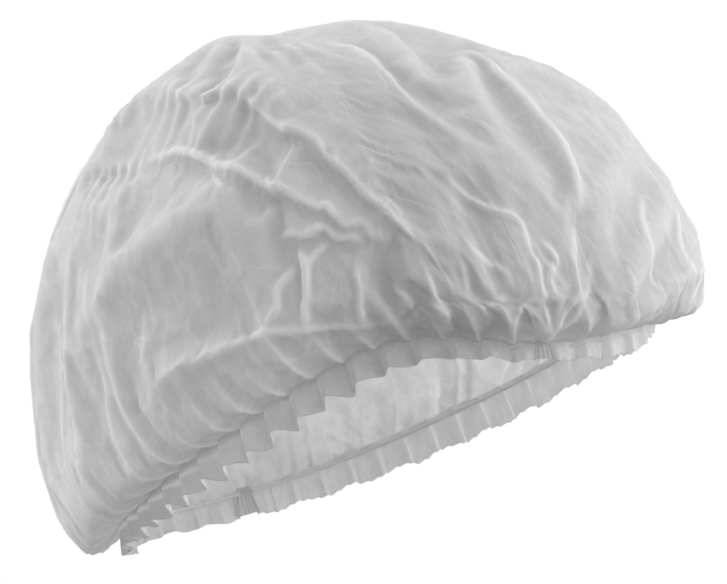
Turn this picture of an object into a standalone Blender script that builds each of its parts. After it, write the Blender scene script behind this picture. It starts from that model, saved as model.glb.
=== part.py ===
"""Disposable hair cover cap of pleated nonwoven, in its worn, puffed form. Metres, +Z up.

+X points to the wearer's face and +Y to their left. The origin is the middle of the rim's opening.
The rim is tilted, front high, so the cap is worked out in its own axes, with the rim level, and its
pieces are then turned together by one empty.
"""
import math
from collections import namedtuple

import bpy
import numpy as np

# Rim, measured to the middle of the elastic thread
RIM_HALF_LENGTH = 0.102
RIM_HALF_WIDTH = 0.079
EAR_ARCH = 0.010
WORN_TILT = 22.0

# Crown
CROWN_HEIGHT = 0.132
APEX_BACK = 0.010
OVERHANG = 0.022
BELLY_LIFT = 0.020
PUFF_HANG = 0.006
SHOULDER = 0.010
CROWN_WALL = 0.0011

# Gathers, folds and bands of cross gathers in the crown
GATHER_DEPTH = 0.0030
GATHER_REACH = 0.024
GATHER_LEAN = 7.0
FOLD_WIDTH = 0.0042
FOLD_DEPTH = 0.0050
BAND_WIDTH = 0.0085
BAND_DEPTH = 0.0022
BAND_PITCH = 0.0060

# Frill below the elastic
FRILL_DEPTH = 0.0102
FRILL_WALL = 0.0010
RUFFLE_PITCH = 0.0106
RUFFLE_DEPTH = 0.0028
RUFFLE_NECK = 0.0006

# Elastic threads and sealed ends
ELASTIC_DIAMETER = 0.0016
ELASTIC_POINTS = 40
WELD_TURN = -22.0
WELD_NECK_WIDTH = 0.0040
WELD_SPREAD = 0.20
WELD_THICKNESS = 0.0014
WELD_RIPPLE = 0.0006
CLEARANCE = 0.0004

# Unevenness of the gathers, the ruffles and the hem, as shares of their depth
GATHER_UNEVEN = 0.20
RUFFLE_UNEVEN = 0.15
HEM_UNEVEN = 0.04

# Fineness of the rim and of the folds' paths, and of the sheets before and after thinning out
RIM_STATIONS = 1441
PATH_STATIONS = 48
CROWN_COLUMNS = 432
CROWN_LOW_ROWS = 26
CROWN_HIGH_ROWS = 64
CROWN_FACES = 3500
FRILL_COLUMNS_PER_RUFFLE = 4
FRILL_ROWS = 2

Fold = namedtuple("Fold", "name path width depth lap")
Band = namedtuple("Band", "name path width depth pitch")


def table(names, *rows):
    """A short table with named columns and one row for each section round the head."""
    return dict(zip(names.split(), np.array(rows, float).T))


# Height of the rim round the head, arched over the ears: azimuth in degrees, rise in shares of EAR_ARCH
RIM = table(
    "azimuth rise",
    (-170, -0.50),
    (-125, -0.85),
    (-90, -0.05),
    (-52, 1.00),
    (-22, -0.35),
    (0, -0.45),
    (30, 0.10),
    (65, 0.65),
    (100, 0.25),
    (140, -0.28),
)

# Puff of the crown round the head, in shares of OVERHANG, BELLY_LIFT, PUFF_HANG and SHOULDER
PUFF = table(
    "azimuth overhang lift hang shoulder",
    (-150, 1.02, 1.0, 2.2, 0.05),
    (-110, 0.80, 1.0, 0.9, 0.35),
    (-75, 0.76, 1.2, 0.2, 0.50),
    (-40, 0.65, 0.6, 0.0, 0.20),
    (-15, 0.80, 0.6, 0.3, 0.00),
    (20, 0.98, 0.6, 0.8, 0.10),
    (60, 1.00, 0.8, 0.3, 0.10),
    (110, 1.00, 0.8, 0.5, 0.30),
    (150, 1.10, 1.0, 0.8, 0.40),
    (180, 1.10, 1.1, 1.0, 0.20),
)

# Frill round the head, in shares of FRILL_DEPTH: how deep it is and how far its hem leans outwards
FRILL = table(
    "azimuth depth lean",
    (-168, 0.72, 0.05),
    (-134, 1.10, 0.15),
    (-90, 1.02, 0.15),
    (-55, 0.86, 0.10),
    (-22, 0.80, 0.10),
    (6, 0.62, -0.10),
    (30, 0.32, -0.30),
    (58, 0.80, 0.00),
    (100, 1.00, 0.15),
    (150, 0.85, 0.10),
)

# Creases and ridges of the crown. A path is a list of places (azimuth, rise), where rise is -1 at the
# elastic, 0 at the belly and 1 at the top. Width and depth are shares of FOLD_WIDTH and FOLD_DEPTH,
# and lap is how much the cloth above the path stands out over the cloth below it.
FOLDS = (
    Fold("low pleat", ((-116, 0.55), (-90, 0.45), (-77, 0.40), (-66, 0.26), (-58, 0.18), (-49, 0.12), (-42, 0.06)),
         1.0, 0.8, 1.0),
    Fold("low pleat lip", ((-66, 0.10), (-60, 0.15), (-53, 0.13), (-46, 0.06)), 0.7, 0.6, 0.4),
    Fold("high pleat", ((-86, 0.62), (-74, 0.53), (-63, 0.48), (-55, 0.32), (-46, 0.17), (-40, 0.07)),
         1.0, 0.9, 1.0),
    Fold("top pleat", ((-20, 0.80), (-28, 0.64), (-31, 0.42), (-28, 0.32), (-24, 0.20), (-25, 0.00), (-23, -0.7)),
         1.1, 0.9, 0.3),
    Fold("front pleat", ((8, 0.60), (-2, 0.45), (-6, 0.28), (-10, 0.16), (-16, 0.05), (-21, -0.7)), 1.0, 1.0, 0.3),
    Fold("brow pleat", ((44, 0.20), (26, 0.16), (8, 0.08), (-8, -0.05), (-18, -0.6)), 1.2, 0.7, 0.0),
    Fold("cheek pleat", ((26, -0.04), (12, -0.10), (0, -0.30), (-14, -0.75)), 0.9, 0.5, 0.0),
    Fold("weld hollow", ((-12, 0.16), (-14, 0.00), (-17, -0.35)), 1.4, -1.2, 0.0),
    Fold("side hollow", ((-29, 0.24), (-31, 0.08), (-27, -0.30)), 1.4, -1.0, 0.0),
    Fold("belly pleat", ((-92, 0.04), (-76, -0.02), (-64, -0.22), (-49, -0.48), (-36, -0.70)), 0.9, 0.8, 0.9),
    Fold("drape 1", ((-60, 0.12), (-62, -0.02), (-64, -0.30)), 0.6, 0.9, 0.0),
    Fold("drape 2", ((-64, 0.06), (-67, -0.03), (-70, -0.16)), 0.7, 0.6, 0.0),
    Fold("drape 3", ((-68, 0.08), (-72, 0.02), (-77, -0.06), (-84, -0.30)), 0.8, 0.6, 0.0),
    Fold("drape 4", ((-53, 0.06), (-54, -0.12), (-55, -0.45)), 0.6, 0.6, 0.0),
    Fold("drape 5", ((-48, -0.05), (-48, -0.30), (-46, -0.75)), 0.7, 0.7, 0.0),
    Fold("drape 6", ((-43, -0.05), (-42, -0.35), (-40, -0.80)), 0.7, 0.7, 0.0),
    Fold("drape 7", ((-34, 0.12), (-33, -0.10), (-29, -0.50)), 0.7, 0.7, 0.0),
    Fold("left streak 1", ((-112, 0.36), (-112, 0.20), (-116, 0.04)), 0.9, 0.5, 0.0),
    Fold("left streak 2", ((-120, 0.28), (-121, 0.12), (-126, -0.10)), 0.9, 0.6, 0.0),
    Fold("left streak 3", ((-103, 0.24), (-104, 0.08), (-108, -0.20)), 1.0, 0.5, 0.0),
    Fold("nape fold", ((-140, 0.24), (-142, 0.05), (-150, -0.40)), 1.0, 0.6, 0.0),
    Fold("back pleat 1", ((-60, 0.86), (-120, 0.70), (-150, 0.46), (-172, 0.22), (-196, -0.10)), 1.3, 0.8, 0.4),
    Fold("back pleat 2", ((90, 0.80), (150, 0.60), (168, 0.34), (160, 0.02)), 1.3, 0.8, 0.3),
    Fold("left pleat 1", ((20, 0.50), (52, 0.42), (90, 0.40), (124, 0.26), (148, 0.02)), 1.2, 0.9, 0.8),
    Fold("left pleat 2", ((36, 0.25), (60, 0.25), (84, 0.23), (108, 0.17), (132, 0.02)), 1.2, 0.8, 0.8),
    Fold("left drape 1", ((64, 0.14), (66, 0.00), (68, -0.40)), 0.9, 0.6, 0.0),
    Fold("left drape 2", ((96, 0.12), (98, -0.04), (102, -0.40)), 0.9, 0.6, 0.0),
)

# Bands of short gathers that cross their path, in shares of BAND_WIDTH, BAND_DEPTH and BAND_PITCH
BANDS = (
    Band("side band", ((-112, 0.46), (-100, 0.39), (-84, 0.36)), 1.0, 0.9, 0.95),
    Band("shoulder band", ((-84, 0.50), (-72, 0.46), (-62, 0.37)), 1.1, 1.2, 1.0),
    Band("top band", ((-62, 0.50), (-46, 0.53), (-30, 0.54)), 1.1, 0.9, 1.1),
    Band("left band", ((60, 0.44), (80, 0.44), (100, 0.40)), 1.1, 0.75, 1.1),
)


def around(rows, name, azimuth):
    """Value of one column at any azimuth: a smooth closed curve through the table's rows."""
    place = rows["azimuth"]
    value = rows[name]
    step = (np.roll(place, -1) - place) % 360
    slope = (np.roll(value, -1) - np.roll(value, 1)) / (step + np.roll(step, 1))
    turn = (np.asarray(azimuth, float) - place[0]) % 360 + place[0]
    here = np.searchsorted(place, turn, side="right") - 1
    after = (here + 1) % len(place)
    s = (turn - place[here]) / step[here]
    start = value[here] * (1 + 2 * s) * (1 - s) ** 2 + slope[here] * step[here] * s * (1 - s) ** 2
    end = value[after] * s * s * (3 - 2 * s) - slope[after] * step[here] * s * s * (1 - s)
    return start + end


def rim_height(azimuth):
    """Height of the elastic thread's middle at an azimuth."""
    return around(RIM, "rise", azimuth) * EAR_ARCH


def rim_point(azimuth, out, drop):
    """Point at a distance out from the thread, square to the rim, and a distance below it."""
    turn = np.radians(azimuth)
    across = RIM_HALF_WIDTH * np.cos(turn)
    along = RIM_HALF_LENGTH * np.sin(turn)
    length = np.hypot(across, along)
    x = RIM_HALF_LENGTH * np.cos(turn) + out * across / length
    y = RIM_HALF_WIDTH * np.sin(turn) + out * along / length
    return np.stack([x, y, rim_height(azimuth) - drop], -1)


def length_along(points):
    """Length run along a line of points, from 0 at its first."""
    return np.concatenate([[0.0], np.cumsum(np.linalg.norm(np.diff(points, axis=0), axis=1))])


# Lengths along the elastic line, run from the front weld round the wearer's left side
RIM_TURNS = np.linspace(WELD_TURN, WELD_TURN + 360.0, RIM_STATIONS)
RIM_RUNS = length_along(rim_point(RIM_TURNS, 0.0, 0.0))
GIRTH = RIM_RUNS[-1]
RUFFLES = max(6, round(GIRTH / 2 / RUFFLE_PITCH))


def azimuth_at(run):
    """Azimuth at a length run from the front weld, which may be negative on the right side."""
    run = np.asarray(run, float)
    return np.interp(run % GIRTH, RIM_RUNS, RIM_TURNS) + 360.0 * np.floor(run / GIRTH)


def ruffle_phase(azimuth):
    """Place along the rim, counted in ruffles from the front weld, 0 to twice RUFFLES."""
    turn = (np.asarray(azimuth, float) - WELD_TURN) % 360.0 + WELD_TURN
    return np.interp(turn, RIM_TURNS, RIM_RUNS) / GIRTH * 2 * RUFFLES


def crown_point(azimuth, rise):
    """Point of the plain puffed dome: rise -1 at the neck, 0 at the belly, 1 at the top."""
    azimuth, rise = np.broadcast_arrays(np.asarray(azimuth, float), np.asarray(rise, float))
    neck = rim_height(azimuth) + ELASTIC_DIAMETER / 2 + CLEARANCE + CROWN_WALL / 2
    overhang = around(PUFF, "overhang", azimuth) * OVERHANG
    lift = around(PUFF, "lift", azimuth) * BELLY_LIFT
    hang = around(PUFF, "hang", azimuth) * PUFF_HANG
    shoulder = around(PUFF, "shoulder", azimuth) * SHOULDER
    # Below the belly the cloth runs out from the neck, may hang, and turns up
    low = np.clip(rise + 1.0, 0.0, 1.0) * math.pi / 2
    out = overhang * np.sin(low)
    height = neck + lift * (1 - np.cos(low)) - hang * np.sin(2 * low) ** 2
    # Above the belly it closes over the head, with a swell that is fullest 35 degrees from the top
    high = np.clip(rise, 0.0, 1.0) * math.pi / 2
    fullest = 2 / math.sqrt(27)
    swell = shoulder * np.sin(high) ** 2 * np.cos(high) / fullest
    height = height + (CROWN_HEIGHT - neck - lift) * np.sin(high) + swell * np.sin(high)
    reach = np.cos(high)
    turn = np.radians(azimuth)
    x = ((RIM_HALF_LENGTH + out) * reach + swell * reach) * np.cos(turn) - APEX_BACK * (1 - reach)
    y = ((RIM_HALF_WIDTH + out) * reach + swell * reach) * np.sin(turn)
    return np.stack([x, y, height], -1)


def smooth_path(path):
    """Azimuths and rises of a smooth curve through a fold's few places."""
    knots = np.array(path, float)
    step = np.arange(len(knots))
    slope = np.gradient(knots, axis=0)
    s = np.linspace(0.0, len(knots) - 1.0, PATH_STATIONS)
    here = np.minimum(s.astype(int), len(knots) - 2)
    part = (s - step[here])[:, None]
    start = knots[here] * (1 + 2 * part) * (1 - part) ** 2 + slope[here] * part * (1 - part) ** 2
    end = knots[here + 1] * part ** 2 * (3 - 2 * part) - slope[here + 1] * part ** 2 * (1 - part)
    return (start + end).T


def near_path(points, path):
    """For each point of the crown: distance to a path, length run along it, share run and rise there."""
    azimuth, rise = smooth_path(path)
    line = crown_point(azimuth, rise)
    run = length_along(line)
    tangent = np.gradient(line, axis=0)
    tangent /= np.linalg.norm(tangent, axis=1, keepdims=True)
    away = np.linalg.norm(points[:, None, :] - line[None, :, :], axis=2)
    nearest = np.argmin(away, axis=1)
    # Between two stations of the path, the distance is measured square to it
    reach = run[-1] / len(run)
    offset = points - line[nearest]
    ahead = np.clip(np.sum(offset * tangent[nearest], axis=1), -reach, reach)
    away = np.linalg.norm(offset - ahead[:, None] * tangent[nearest], axis=1)
    along = np.clip(run[nearest] + ahead, 0.0, run[-1])
    return away, along, along / run[-1], rise[nearest]


def fold_relief(points, rises):
    """Height of all creases, ridges and hollows over the plain dome."""
    relief = np.zeros(len(points))
    for fold in FOLDS:
        away, _, share, path_rise = near_path(points, fold.path)
        width = fold.width * FOLD_WIDTH
        taper = np.clip(6.0 * share * (1.0 - share), 0.0, 1.0)
        above = 0.5 + 0.5 * np.tanh(np.sign(rises - path_rise) * away / (0.7 * width))
        ridge = np.exp(-(away / width) ** 2)
        step = fold.lap * above * np.exp(-away / (3.0 * width))
        relief += fold.depth * FOLD_DEPTH * taper * np.maximum(ridge, step)
    return relief


def band_relief(points):
    """Height of the short gathers that cross each band."""
    relief = np.zeros(len(points))
    for band in BANDS:
        away, run, share, _ = near_path(points, band.path)
        taper = np.clip(6.0 * share * (1.0 - share), 0.0, 1.0)
        wave = np.cos(2 * math.pi * run / (band.pitch * BAND_PITCH))
        edge = np.exp(-(away / (band.width * BAND_WIDTH)) ** 4)
        relief += band.depth * BAND_DEPTH * taper * edge * wave
    return relief


def gather_relief(azimuths, rises, above_neck):
    """Height of the gathers that rise from the elastic and fade into the crown."""
    phase = ruffle_phase(azimuths + GATHER_LEAN * (rises + 1.0))
    wave = 0.5 - 0.5 * np.tanh(2.0 * np.cos(2 * math.pi * phase)) / math.tanh(2.0)
    uneven = 1 - GATHER_UNEVEN * (1 - np.sin(1.7 * phase) - np.sin(0.61 * phase + 1.0))
    # A third as deep at the neck as a little way above it
    grow = np.interp(above_neck / GATHER_REACH, [0.0, 0.3], [1 / 3, 1.0])
    fade = np.exp(-(above_neck / GATHER_REACH) ** 2)
    return GATHER_DEPTH * wave * uneven * grow * fade


def grid_faces(rows, columns, closed):
    """Quads of a grid of rows of points, with each row closed into a ring or left open."""
    index = np.arange(rows * columns).reshape(rows, columns)
    beside = np.roll(index, -1, axis=1)
    last = columns if closed else columns - 1
    low = slice(0, rows - 1)
    high = slice(1, rows)
    corners = (index[low, :last], beside[low, :last], beside[high, :last], index[high, :last])
    return np.stack(corners, -1).reshape(-1, 4).tolist()


def add_material(name, colour, roughness):
    """Principled material for one piece."""
    material = bpy.data.materials.new(name)
    material.use_nodes = True
    shader = material.node_tree.nodes["Principled BSDF"]
    shader.inputs["Base Color"].default_value = (*colour, 1.0)
    shader.inputs["Roughness"].default_value = roughness
    shader.inputs["Metallic"].default_value = 0.0
    material.diffuse_color = (*colour, 1.0)
    return material


def add_sheet(name, points, faces, wall, material, collection, parent, keep=1.0):
    """Sheet of cloth: an open surface, thinned out where it is flat, then given its wall."""
    mesh = bpy.data.meshes.new(name)
    mesh.from_pydata(points.tolist(), [], faces)
    mesh.validate()
    mesh.shade_smooth()
    mesh.materials.append(material)
    sheet = bpy.data.objects.new(name, mesh)
    collection.objects.link(sheet)
    sheet.parent = parent
    if keep < 1.0:
        thin_out = sheet.modifiers.new("Thin out flat places", "DECIMATE")
        thin_out.ratio = keep
    solid = sheet.modifiers.new("Wall", "SOLIDIFY")
    solid.thickness = wall
    solid.offset = 0.0
    solid.use_even_offset = False
    return sheet


def build_crown(collection, parent):
    """Puffed dome with its gathers, pleats and bands, open at the rim."""
    low = np.linspace(-1.0, 0.0, CROWN_LOW_ROWS, endpoint=False)
    high = np.linspace(0.0, 1.0, CROWN_HIGH_ROWS)[:-1]
    azimuth = np.linspace(-180.0, 180.0, CROWN_COLUMNS, endpoint=False)
    azimuths, rises = np.meshgrid(azimuth, np.concatenate([low, high]))
    plain = crown_point(azimuths, rises)
    rows, columns = azimuths.shape
    along = np.roll(plain, -1, axis=1) - np.roll(plain, 1, axis=1)
    up = np.gradient(plain, axis=0)
    normal = np.cross(along, up)
    normal /= np.linalg.norm(normal, axis=2, keepdims=True)
    climb = np.linalg.norm(np.diff(plain, axis=0), axis=2)
    above_neck = np.vstack([np.zeros(columns), np.cumsum(climb, axis=0)]).ravel()
    plain = plain.reshape(-1, 3)
    relief = fold_relief(plain, rises.ravel()) + band_relief(plain)
    # Folds die out at the neck, and gathers stand inwards there, so that both clear the thread below
    relief *= np.clip(above_neck / GATHER_REACH, 0.0, 1.0)
    relief -= gather_relief(azimuths.ravel(), rises.ravel(), above_neck)
    moved = plain + normal.reshape(-1, 3) * relief[:, None]
    points = np.vstack([moved, crown_point(0.0, 1.0)])
    faces = grid_faces(rows, columns, closed=True)
    last = (rows - 1) * columns
    faces += [(last + i, last + (i + 1) % columns, rows * columns) for i in range(columns)]
    cloth = add_material("crown_cloth", (0.80, 0.81, 0.82), 0.75)
    keep = CROWN_FACES / (2 * columns * (rows - 1) + columns)
    return add_sheet("crown", points, faces, CROWN_WALL, cloth, collection, parent, keep)


def hem_depth(azimuth):
    """Depth of the frill at an azimuth."""
    return around(FRILL, "depth", azimuth) * FRILL_DEPTH


def weld_edge(drop):
    """Half width of a sealed end at a distance below the elastic's middle."""
    return WELD_NECK_WIDTH / 2 + WELD_SPREAD * (drop + ELASTIC_DIAMETER / 2)


def build_frill(name, side, collection, parent):
    """Ruffled strip below one elastic, from the front weld round to the back weld."""
    columns = RUFFLES * FRILL_COLUMNS_PER_RUFFLE
    step = np.arange(columns + 1)
    # Box ruffles: two columns stand out and the next two stand in, with a plain stretch at each weld
    wave = np.where(step % FRILL_COLUMNS_PER_RUFFLE < FRILL_COLUMNS_PER_RUFFLE // 2, 1.0, -1.0)
    wave[[0, 1, -2, -1]] = 0.0
    uneven = 1 - RUFFLE_UNEVEN * (1 - np.sin(2.3 * step))
    rows = []
    top = ELASTIC_DIAMETER / 2 + CLEARANCE
    front, back = hem_depth(azimuth_at(np.array([0.0, GIRTH / 2])))
    for share in np.linspace(0.0, 1.0, FRILL_ROWS + 1):
        start = weld_edge(top + share * front) + CLEARANCE
        end = GIRTH / 2 - weld_edge(top + share * back) - CLEARANCE
        azimuth = azimuth_at(side * np.linspace(start, end, columns + 1))
        depth = RUFFLE_NECK + (RUFFLE_DEPTH - RUFFLE_NECK) * math.sin(share * math.pi / 2)
        drop = top + share * hem_depth(azimuth) * (1.0 + HEM_UNEVEN * np.sin(1.9 * step))
        lean = share * around(FRILL, "lean", azimuth) * FRILL_DEPTH
        rows.append(rim_point(azimuth, depth * uneven * wave + lean, drop))
    points = np.array(rows)
    cloth = add_material(name + "_cloth", (0.76, 0.77, 0.78), 0.75)
    faces = grid_faces(points.shape[0], points.shape[1], closed=False)
    if side > 0:
        faces = [face[::-1] for face in faces]
    return add_sheet(name, points.reshape(-1, 3), faces, FRILL_WALL, cloth, collection, parent)


def build_elastic(name, side, collection, parent):
    """Elastic thread from weld to weld along one side of the rim."""
    start = weld_edge(ELASTIC_DIAMETER / 2) + CLEARANCE
    azimuth = azimuth_at(side * np.linspace(start, GIRTH / 2 - start, ELASTIC_POINTS))
    curve = bpy.data.curves.new(name, "CURVE")
    curve.dimensions = "3D"
    curve.bevel_depth = ELASTIC_DIAMETER / 2
    curve.bevel_resolution = 2
    curve.use_fill_caps = True
    spline = curve.splines.new("POLY")
    spline.points.add(ELASTIC_POINTS - 1)
    for point, place in zip(spline.points, rim_point(azimuth, 0.0, 0.0)):
        point.co = (*place, 1.0)
    curve.materials.append(add_material(name + "_rubber", (0.70, 0.71, 0.72), 0.55))
    thread = bpy.data.objects.new(name, curve)
    collection.objects.link(thread)
    thread.parent = parent
    return thread


def build_weld(name, run, collection, parent):
    """Sealed end: a small rippled fan from the elastic down to the frill's edge."""
    across = np.linspace(-1.0, 1.0, 13)
    top = -ELASTIC_DIAMETER / 2
    foot = ELASTIC_DIAMETER / 2 + CLEARANCE + hem_depth(azimuth_at(run))
    rows = []
    for share in np.linspace(0.0, 1.0, 4):
        drop = top + share * (foot - top)
        azimuth = azimuth_at(run + across * weld_edge(drop))
        # The ripples die out at both edges, which stay square to the frills
        ripple = WELD_RIPPLE * share * np.cos(3 * math.pi * across) * (1 - across ** 2) ** 2
        lean = share * around(FRILL, "lean", azimuth) * FRILL_DEPTH
        rows.append(rim_point(azimuth, ripple + lean, drop))
    points = np.array(rows)
    film = add_material(name + "_film", (0.74, 0.75, 0.77), 0.45)
    faces = [face[::-1] for face in grid_faces(points.shape[0], points.shape[1], closed=False)]
    return add_sheet(name, points.reshape(-1, 3), faces, WELD_THICKNESS, film, collection, parent)


def build_cap():
    """All pieces of the cap, under one empty that gives the rim its worn tilt."""
    for item in list(bpy.data.objects):
        bpy.data.objects.remove(item, do_unlink=True)
    collection = bpy.data.collections.new("disposable_hair_cover_cap")
    bpy.context.scene.collection.children.link(collection)
    tilt = bpy.data.objects.new("worn_tilt", None)
    tilt.empty_display_size = RIM_HALF_WIDTH
    tilt.rotation_euler = (0.0, -math.radians(WORN_TILT), 0.0)
    collection.objects.link(tilt)
    build_crown(collection, tilt)
    for name, side in (("right", -1), ("left", 1)):
        build_frill("frill_" + name, side, collection, tilt)
        build_elastic("elastic_" + name, side, collection, tilt)
    build_weld("weld_front", 0.0, collection, tilt)
    build_weld("weld_back", GIRTH / 2, collection, tilt)


build_cap()
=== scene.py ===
# %% [markdown]
# # A disposable hair cover cap
#
# The cap is one rectangle of spun, point-bonded nonwoven. It is pleated like a fan, pressed together
# at both ends, and gathered on two elastic threads, so that it puffs up when it is worn.
# This lesson dresses the plain CAD model: it keeps the CAD sizes, and builds finer cloth on them.
# The cap hangs over its floor in the tilt at which a head would hold it. +X is the wearer's front.

import math
from collections import namedtuple

import bpy
import numpy as np
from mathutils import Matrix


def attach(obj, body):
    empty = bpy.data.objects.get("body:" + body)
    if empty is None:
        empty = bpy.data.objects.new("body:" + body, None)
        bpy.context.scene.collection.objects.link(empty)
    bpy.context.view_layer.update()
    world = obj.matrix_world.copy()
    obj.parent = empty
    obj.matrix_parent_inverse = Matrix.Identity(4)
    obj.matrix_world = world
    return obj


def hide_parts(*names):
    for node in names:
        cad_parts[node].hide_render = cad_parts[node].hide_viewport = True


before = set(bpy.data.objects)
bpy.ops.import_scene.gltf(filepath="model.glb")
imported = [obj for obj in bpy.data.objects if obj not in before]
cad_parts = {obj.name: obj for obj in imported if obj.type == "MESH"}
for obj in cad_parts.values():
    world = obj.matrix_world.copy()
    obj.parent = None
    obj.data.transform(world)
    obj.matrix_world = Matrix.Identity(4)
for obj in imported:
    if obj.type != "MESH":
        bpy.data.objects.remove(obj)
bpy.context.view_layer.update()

# %% [markdown]
# ## Sizes
#
# All lengths are in metres and repeat the CAD model's named sizes, because the cloth made here lies
# on the same dome. The cap is worked out with its rim level, and is turned to its worn tilt last.

# %% Named sizes of the cap
RIM_HALF_LENGTH = 0.102
RIM_HALF_WIDTH = 0.079
EAR_ARCH = 0.010
WORN_TILT = 22.0
CROWN_HEIGHT = 0.132
APEX_BACK = 0.010
OVERHANG = 0.022
BELLY_LIFT = 0.020
PUFF_HANG = 0.006
SHOULDER = 0.010
THREAD = 0.0016
FRILL_DEPTH = 0.0102
RUFFLE_PITCH = 0.0106
WELD_TURN = -22.0
CLOTH = 0.00035


# %% [markdown]
# ## Values that change round the head
#
# Real cloth puffs more at the nape than over the ears. Each such value is a short table of azimuths
# and shares. A closed Hermite curve runs through the rows, so no section shows a corner.

# %% Tables round the head
def table(names, *rows):
    """A short table with named columns and one row for each section round the head."""
    return dict(zip(names.split(), np.array(rows, float).T))


def around(rows, name, azimuth):
    """One column at any azimuth: cubic Hermite pieces between the rows, closed after 360 degrees."""
    place, value = rows["azimuth"], rows[name]
    step = (np.roll(place, -1) - place) % 360
    slope = (np.roll(value, -1) - np.roll(value, 1)) / (step + np.roll(step, 1))
    turn = (np.asarray(azimuth, float) - place[0]) % 360 + place[0]
    here = np.searchsorted(place, turn, side="right") - 1
    after = (here + 1) % len(place)
    s = (turn - place[here]) / step[here]
    start = value[here] * (1 + 2 * s) * (1 - s) ** 2 + slope[here] * step[here] * s * (1 - s) ** 2
    end = value[after] * s * s * (3 - 2 * s) - slope[after] * step[here] * s * s * (1 - s)
    return start + end


RIM = table("azimuth rise", (-170, -0.50), (-125, -0.85), (-90, -0.05), (-52, 1.00), (-22, -0.35),
            (0, -0.45), (30, 0.10), (65, 0.65), (100, 0.25), (140, -0.28))
PUFF = table("azimuth overhang lift hang shoulder",
             (-150, 1.02, 1.0, 2.2, 0.05), (-110, 0.80, 1.0, 0.9, 0.35), (-75, 0.76, 1.2, 0.2, 0.50),
             (-40, 0.65, 0.6, 0.0, 0.20), (-15, 0.80, 0.6, 0.3, 0.00), (20, 0.98, 0.6, 0.8, 0.10),
             (60, 1.00, 0.8, 0.3, 0.10), (110, 1.00, 0.8, 0.5, 0.30), (150, 1.10, 1.0, 0.8, 0.40),
             (180, 1.10, 1.1, 1.0, 0.20))
FRILL = table("azimuth depth lean",
              (-168, 0.72, 0.05), (-152, 1.05, 0.15), (-134, 0.82, 0.12), (-90, 0.88, 0.12),
              (-62, 0.80, 0.05), (-44, 0.56, -0.10), (-22, 0.36, -0.20), (4, 0.58, -0.15),
              (30, 0.32, -0.30), (58, 0.80, 0.00), (100, 1.00, 0.15), (150, 0.85, 0.10))
print("sections:", len(RIM["azimuth"]), len(PUFF["azimuth"]), len(FRILL["azimuth"]))


# %% [markdown]
# ## The rim
#
# The elastic lies on an oval that arches over the ears. Points near it are given by an azimuth, a
# distance out from the thread and a drop below it. Ruffles are counted by length along the thread,
# because gathers are spaced by length and not by angle.

# %% The rim line and its lengths
def rim_height(azimuth):
    """Height of the thread's middle: the table's share of the ear arch."""
    return around(RIM, "rise", azimuth) * EAR_ARCH


def rim_point(azimuth, out, drop):
    """Oval of the rim plus a distance along its outward normal, lowered by the drop."""
    turn = np.radians(azimuth)
    across, along = RIM_HALF_WIDTH * np.cos(turn), RIM_HALF_LENGTH * np.sin(turn)
    length = np.hypot(across, along)
    x = RIM_HALF_LENGTH * np.cos(turn) + out * across / length
    y = RIM_HALF_WIDTH * np.sin(turn) + out * along / length
    return np.stack([x, y, rim_height(azimuth) - drop], -1)


def length_along(points):
    """Length run along a line of points, from 0 at its first."""
    return np.concatenate([[0.0], np.cumsum(np.linalg.norm(np.diff(points, axis=0), axis=1))])


RIM_TURNS = np.linspace(WELD_TURN, WELD_TURN + 360.0, 1441)
RIM_RUNS = length_along(rim_point(RIM_TURNS, 0.0, 0.0))
GIRTH = RIM_RUNS[-1]
RUFFLES = round(GIRTH / 2 / RUFFLE_PITCH)
print(f"rim {GIRTH * 1000:.0f} mm round, {RUFFLES} ruffles on each side")


def azimuth_at(run):
    """Azimuth at a length run from the front weld, read from the table of lengths."""
    run = np.asarray(run, float)
    return np.interp(run % GIRTH, RIM_RUNS, RIM_TURNS) + 360.0 * np.floor(run / GIRTH)


CREST_PHASE = 0.125


def ruffle_phase(azimuth):
    """Ruffles counted along the rim from the front weld. Whole numbers are the gathers' crests."""
    turn = (np.asarray(azimuth, float) - WELD_TURN) % 360.0 + WELD_TURN
    return np.interp(turn, RIM_TURNS, RIM_RUNS) / GIRTH * 2 * RUFFLES - CREST_PHASE


# %% [markdown]
# ## The plain dome
#
# Below the belly the cloth runs out from the thread and turns up. Above it the cloth closes over the
# head. One function of azimuth and rise gives the whole dome, so a fold can be placed by two numbers.

# %% The dome as a function of azimuth and rise
def crown_point(azimuth, rise):
    """Rise -1 to 0: a quarter ellipse out and up from the neck, with a hanging puff. Rise 0 to 1: a
    quarter ellipse up and in to the top, plus a swell that is fullest 35 degrees from the top."""
    azimuth, rise = np.broadcast_arrays(np.asarray(azimuth, float), np.asarray(rise, float))
    neck = rim_height(azimuth) + THREAD / 2
    overhang = around(PUFF, "overhang", azimuth) * OVERHANG
    lift = around(PUFF, "lift", azimuth) * BELLY_LIFT
    hang = around(PUFF, "hang", azimuth) * PUFF_HANG
    shoulder = around(PUFF, "shoulder", azimuth) * SHOULDER
    low = np.clip(rise + 1.0, 0.0, 1.0) * math.pi / 2
    out = overhang * np.sin(low)
    height = neck + lift * (1 - np.cos(low)) - hang * np.sin(2 * low) ** 2
    high = np.clip(rise, 0.0, 1.0) * math.pi / 2
    swell = shoulder * np.sin(high) ** 2 * np.cos(high) / (2 / math.sqrt(27))
    height = height + (CROWN_HEIGHT - neck - lift) * np.sin(high) + swell * np.sin(high)
    reach = np.cos(high)
    turn = np.radians(azimuth)
    x = ((RIM_HALF_LENGTH + out) * reach + swell * reach) * np.cos(turn) - APEX_BACK * (1 - reach)
    y = ((RIM_HALF_WIDTH + out) * reach + swell * reach) * np.sin(turn)
    return np.stack([x, y, height], -1)


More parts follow.
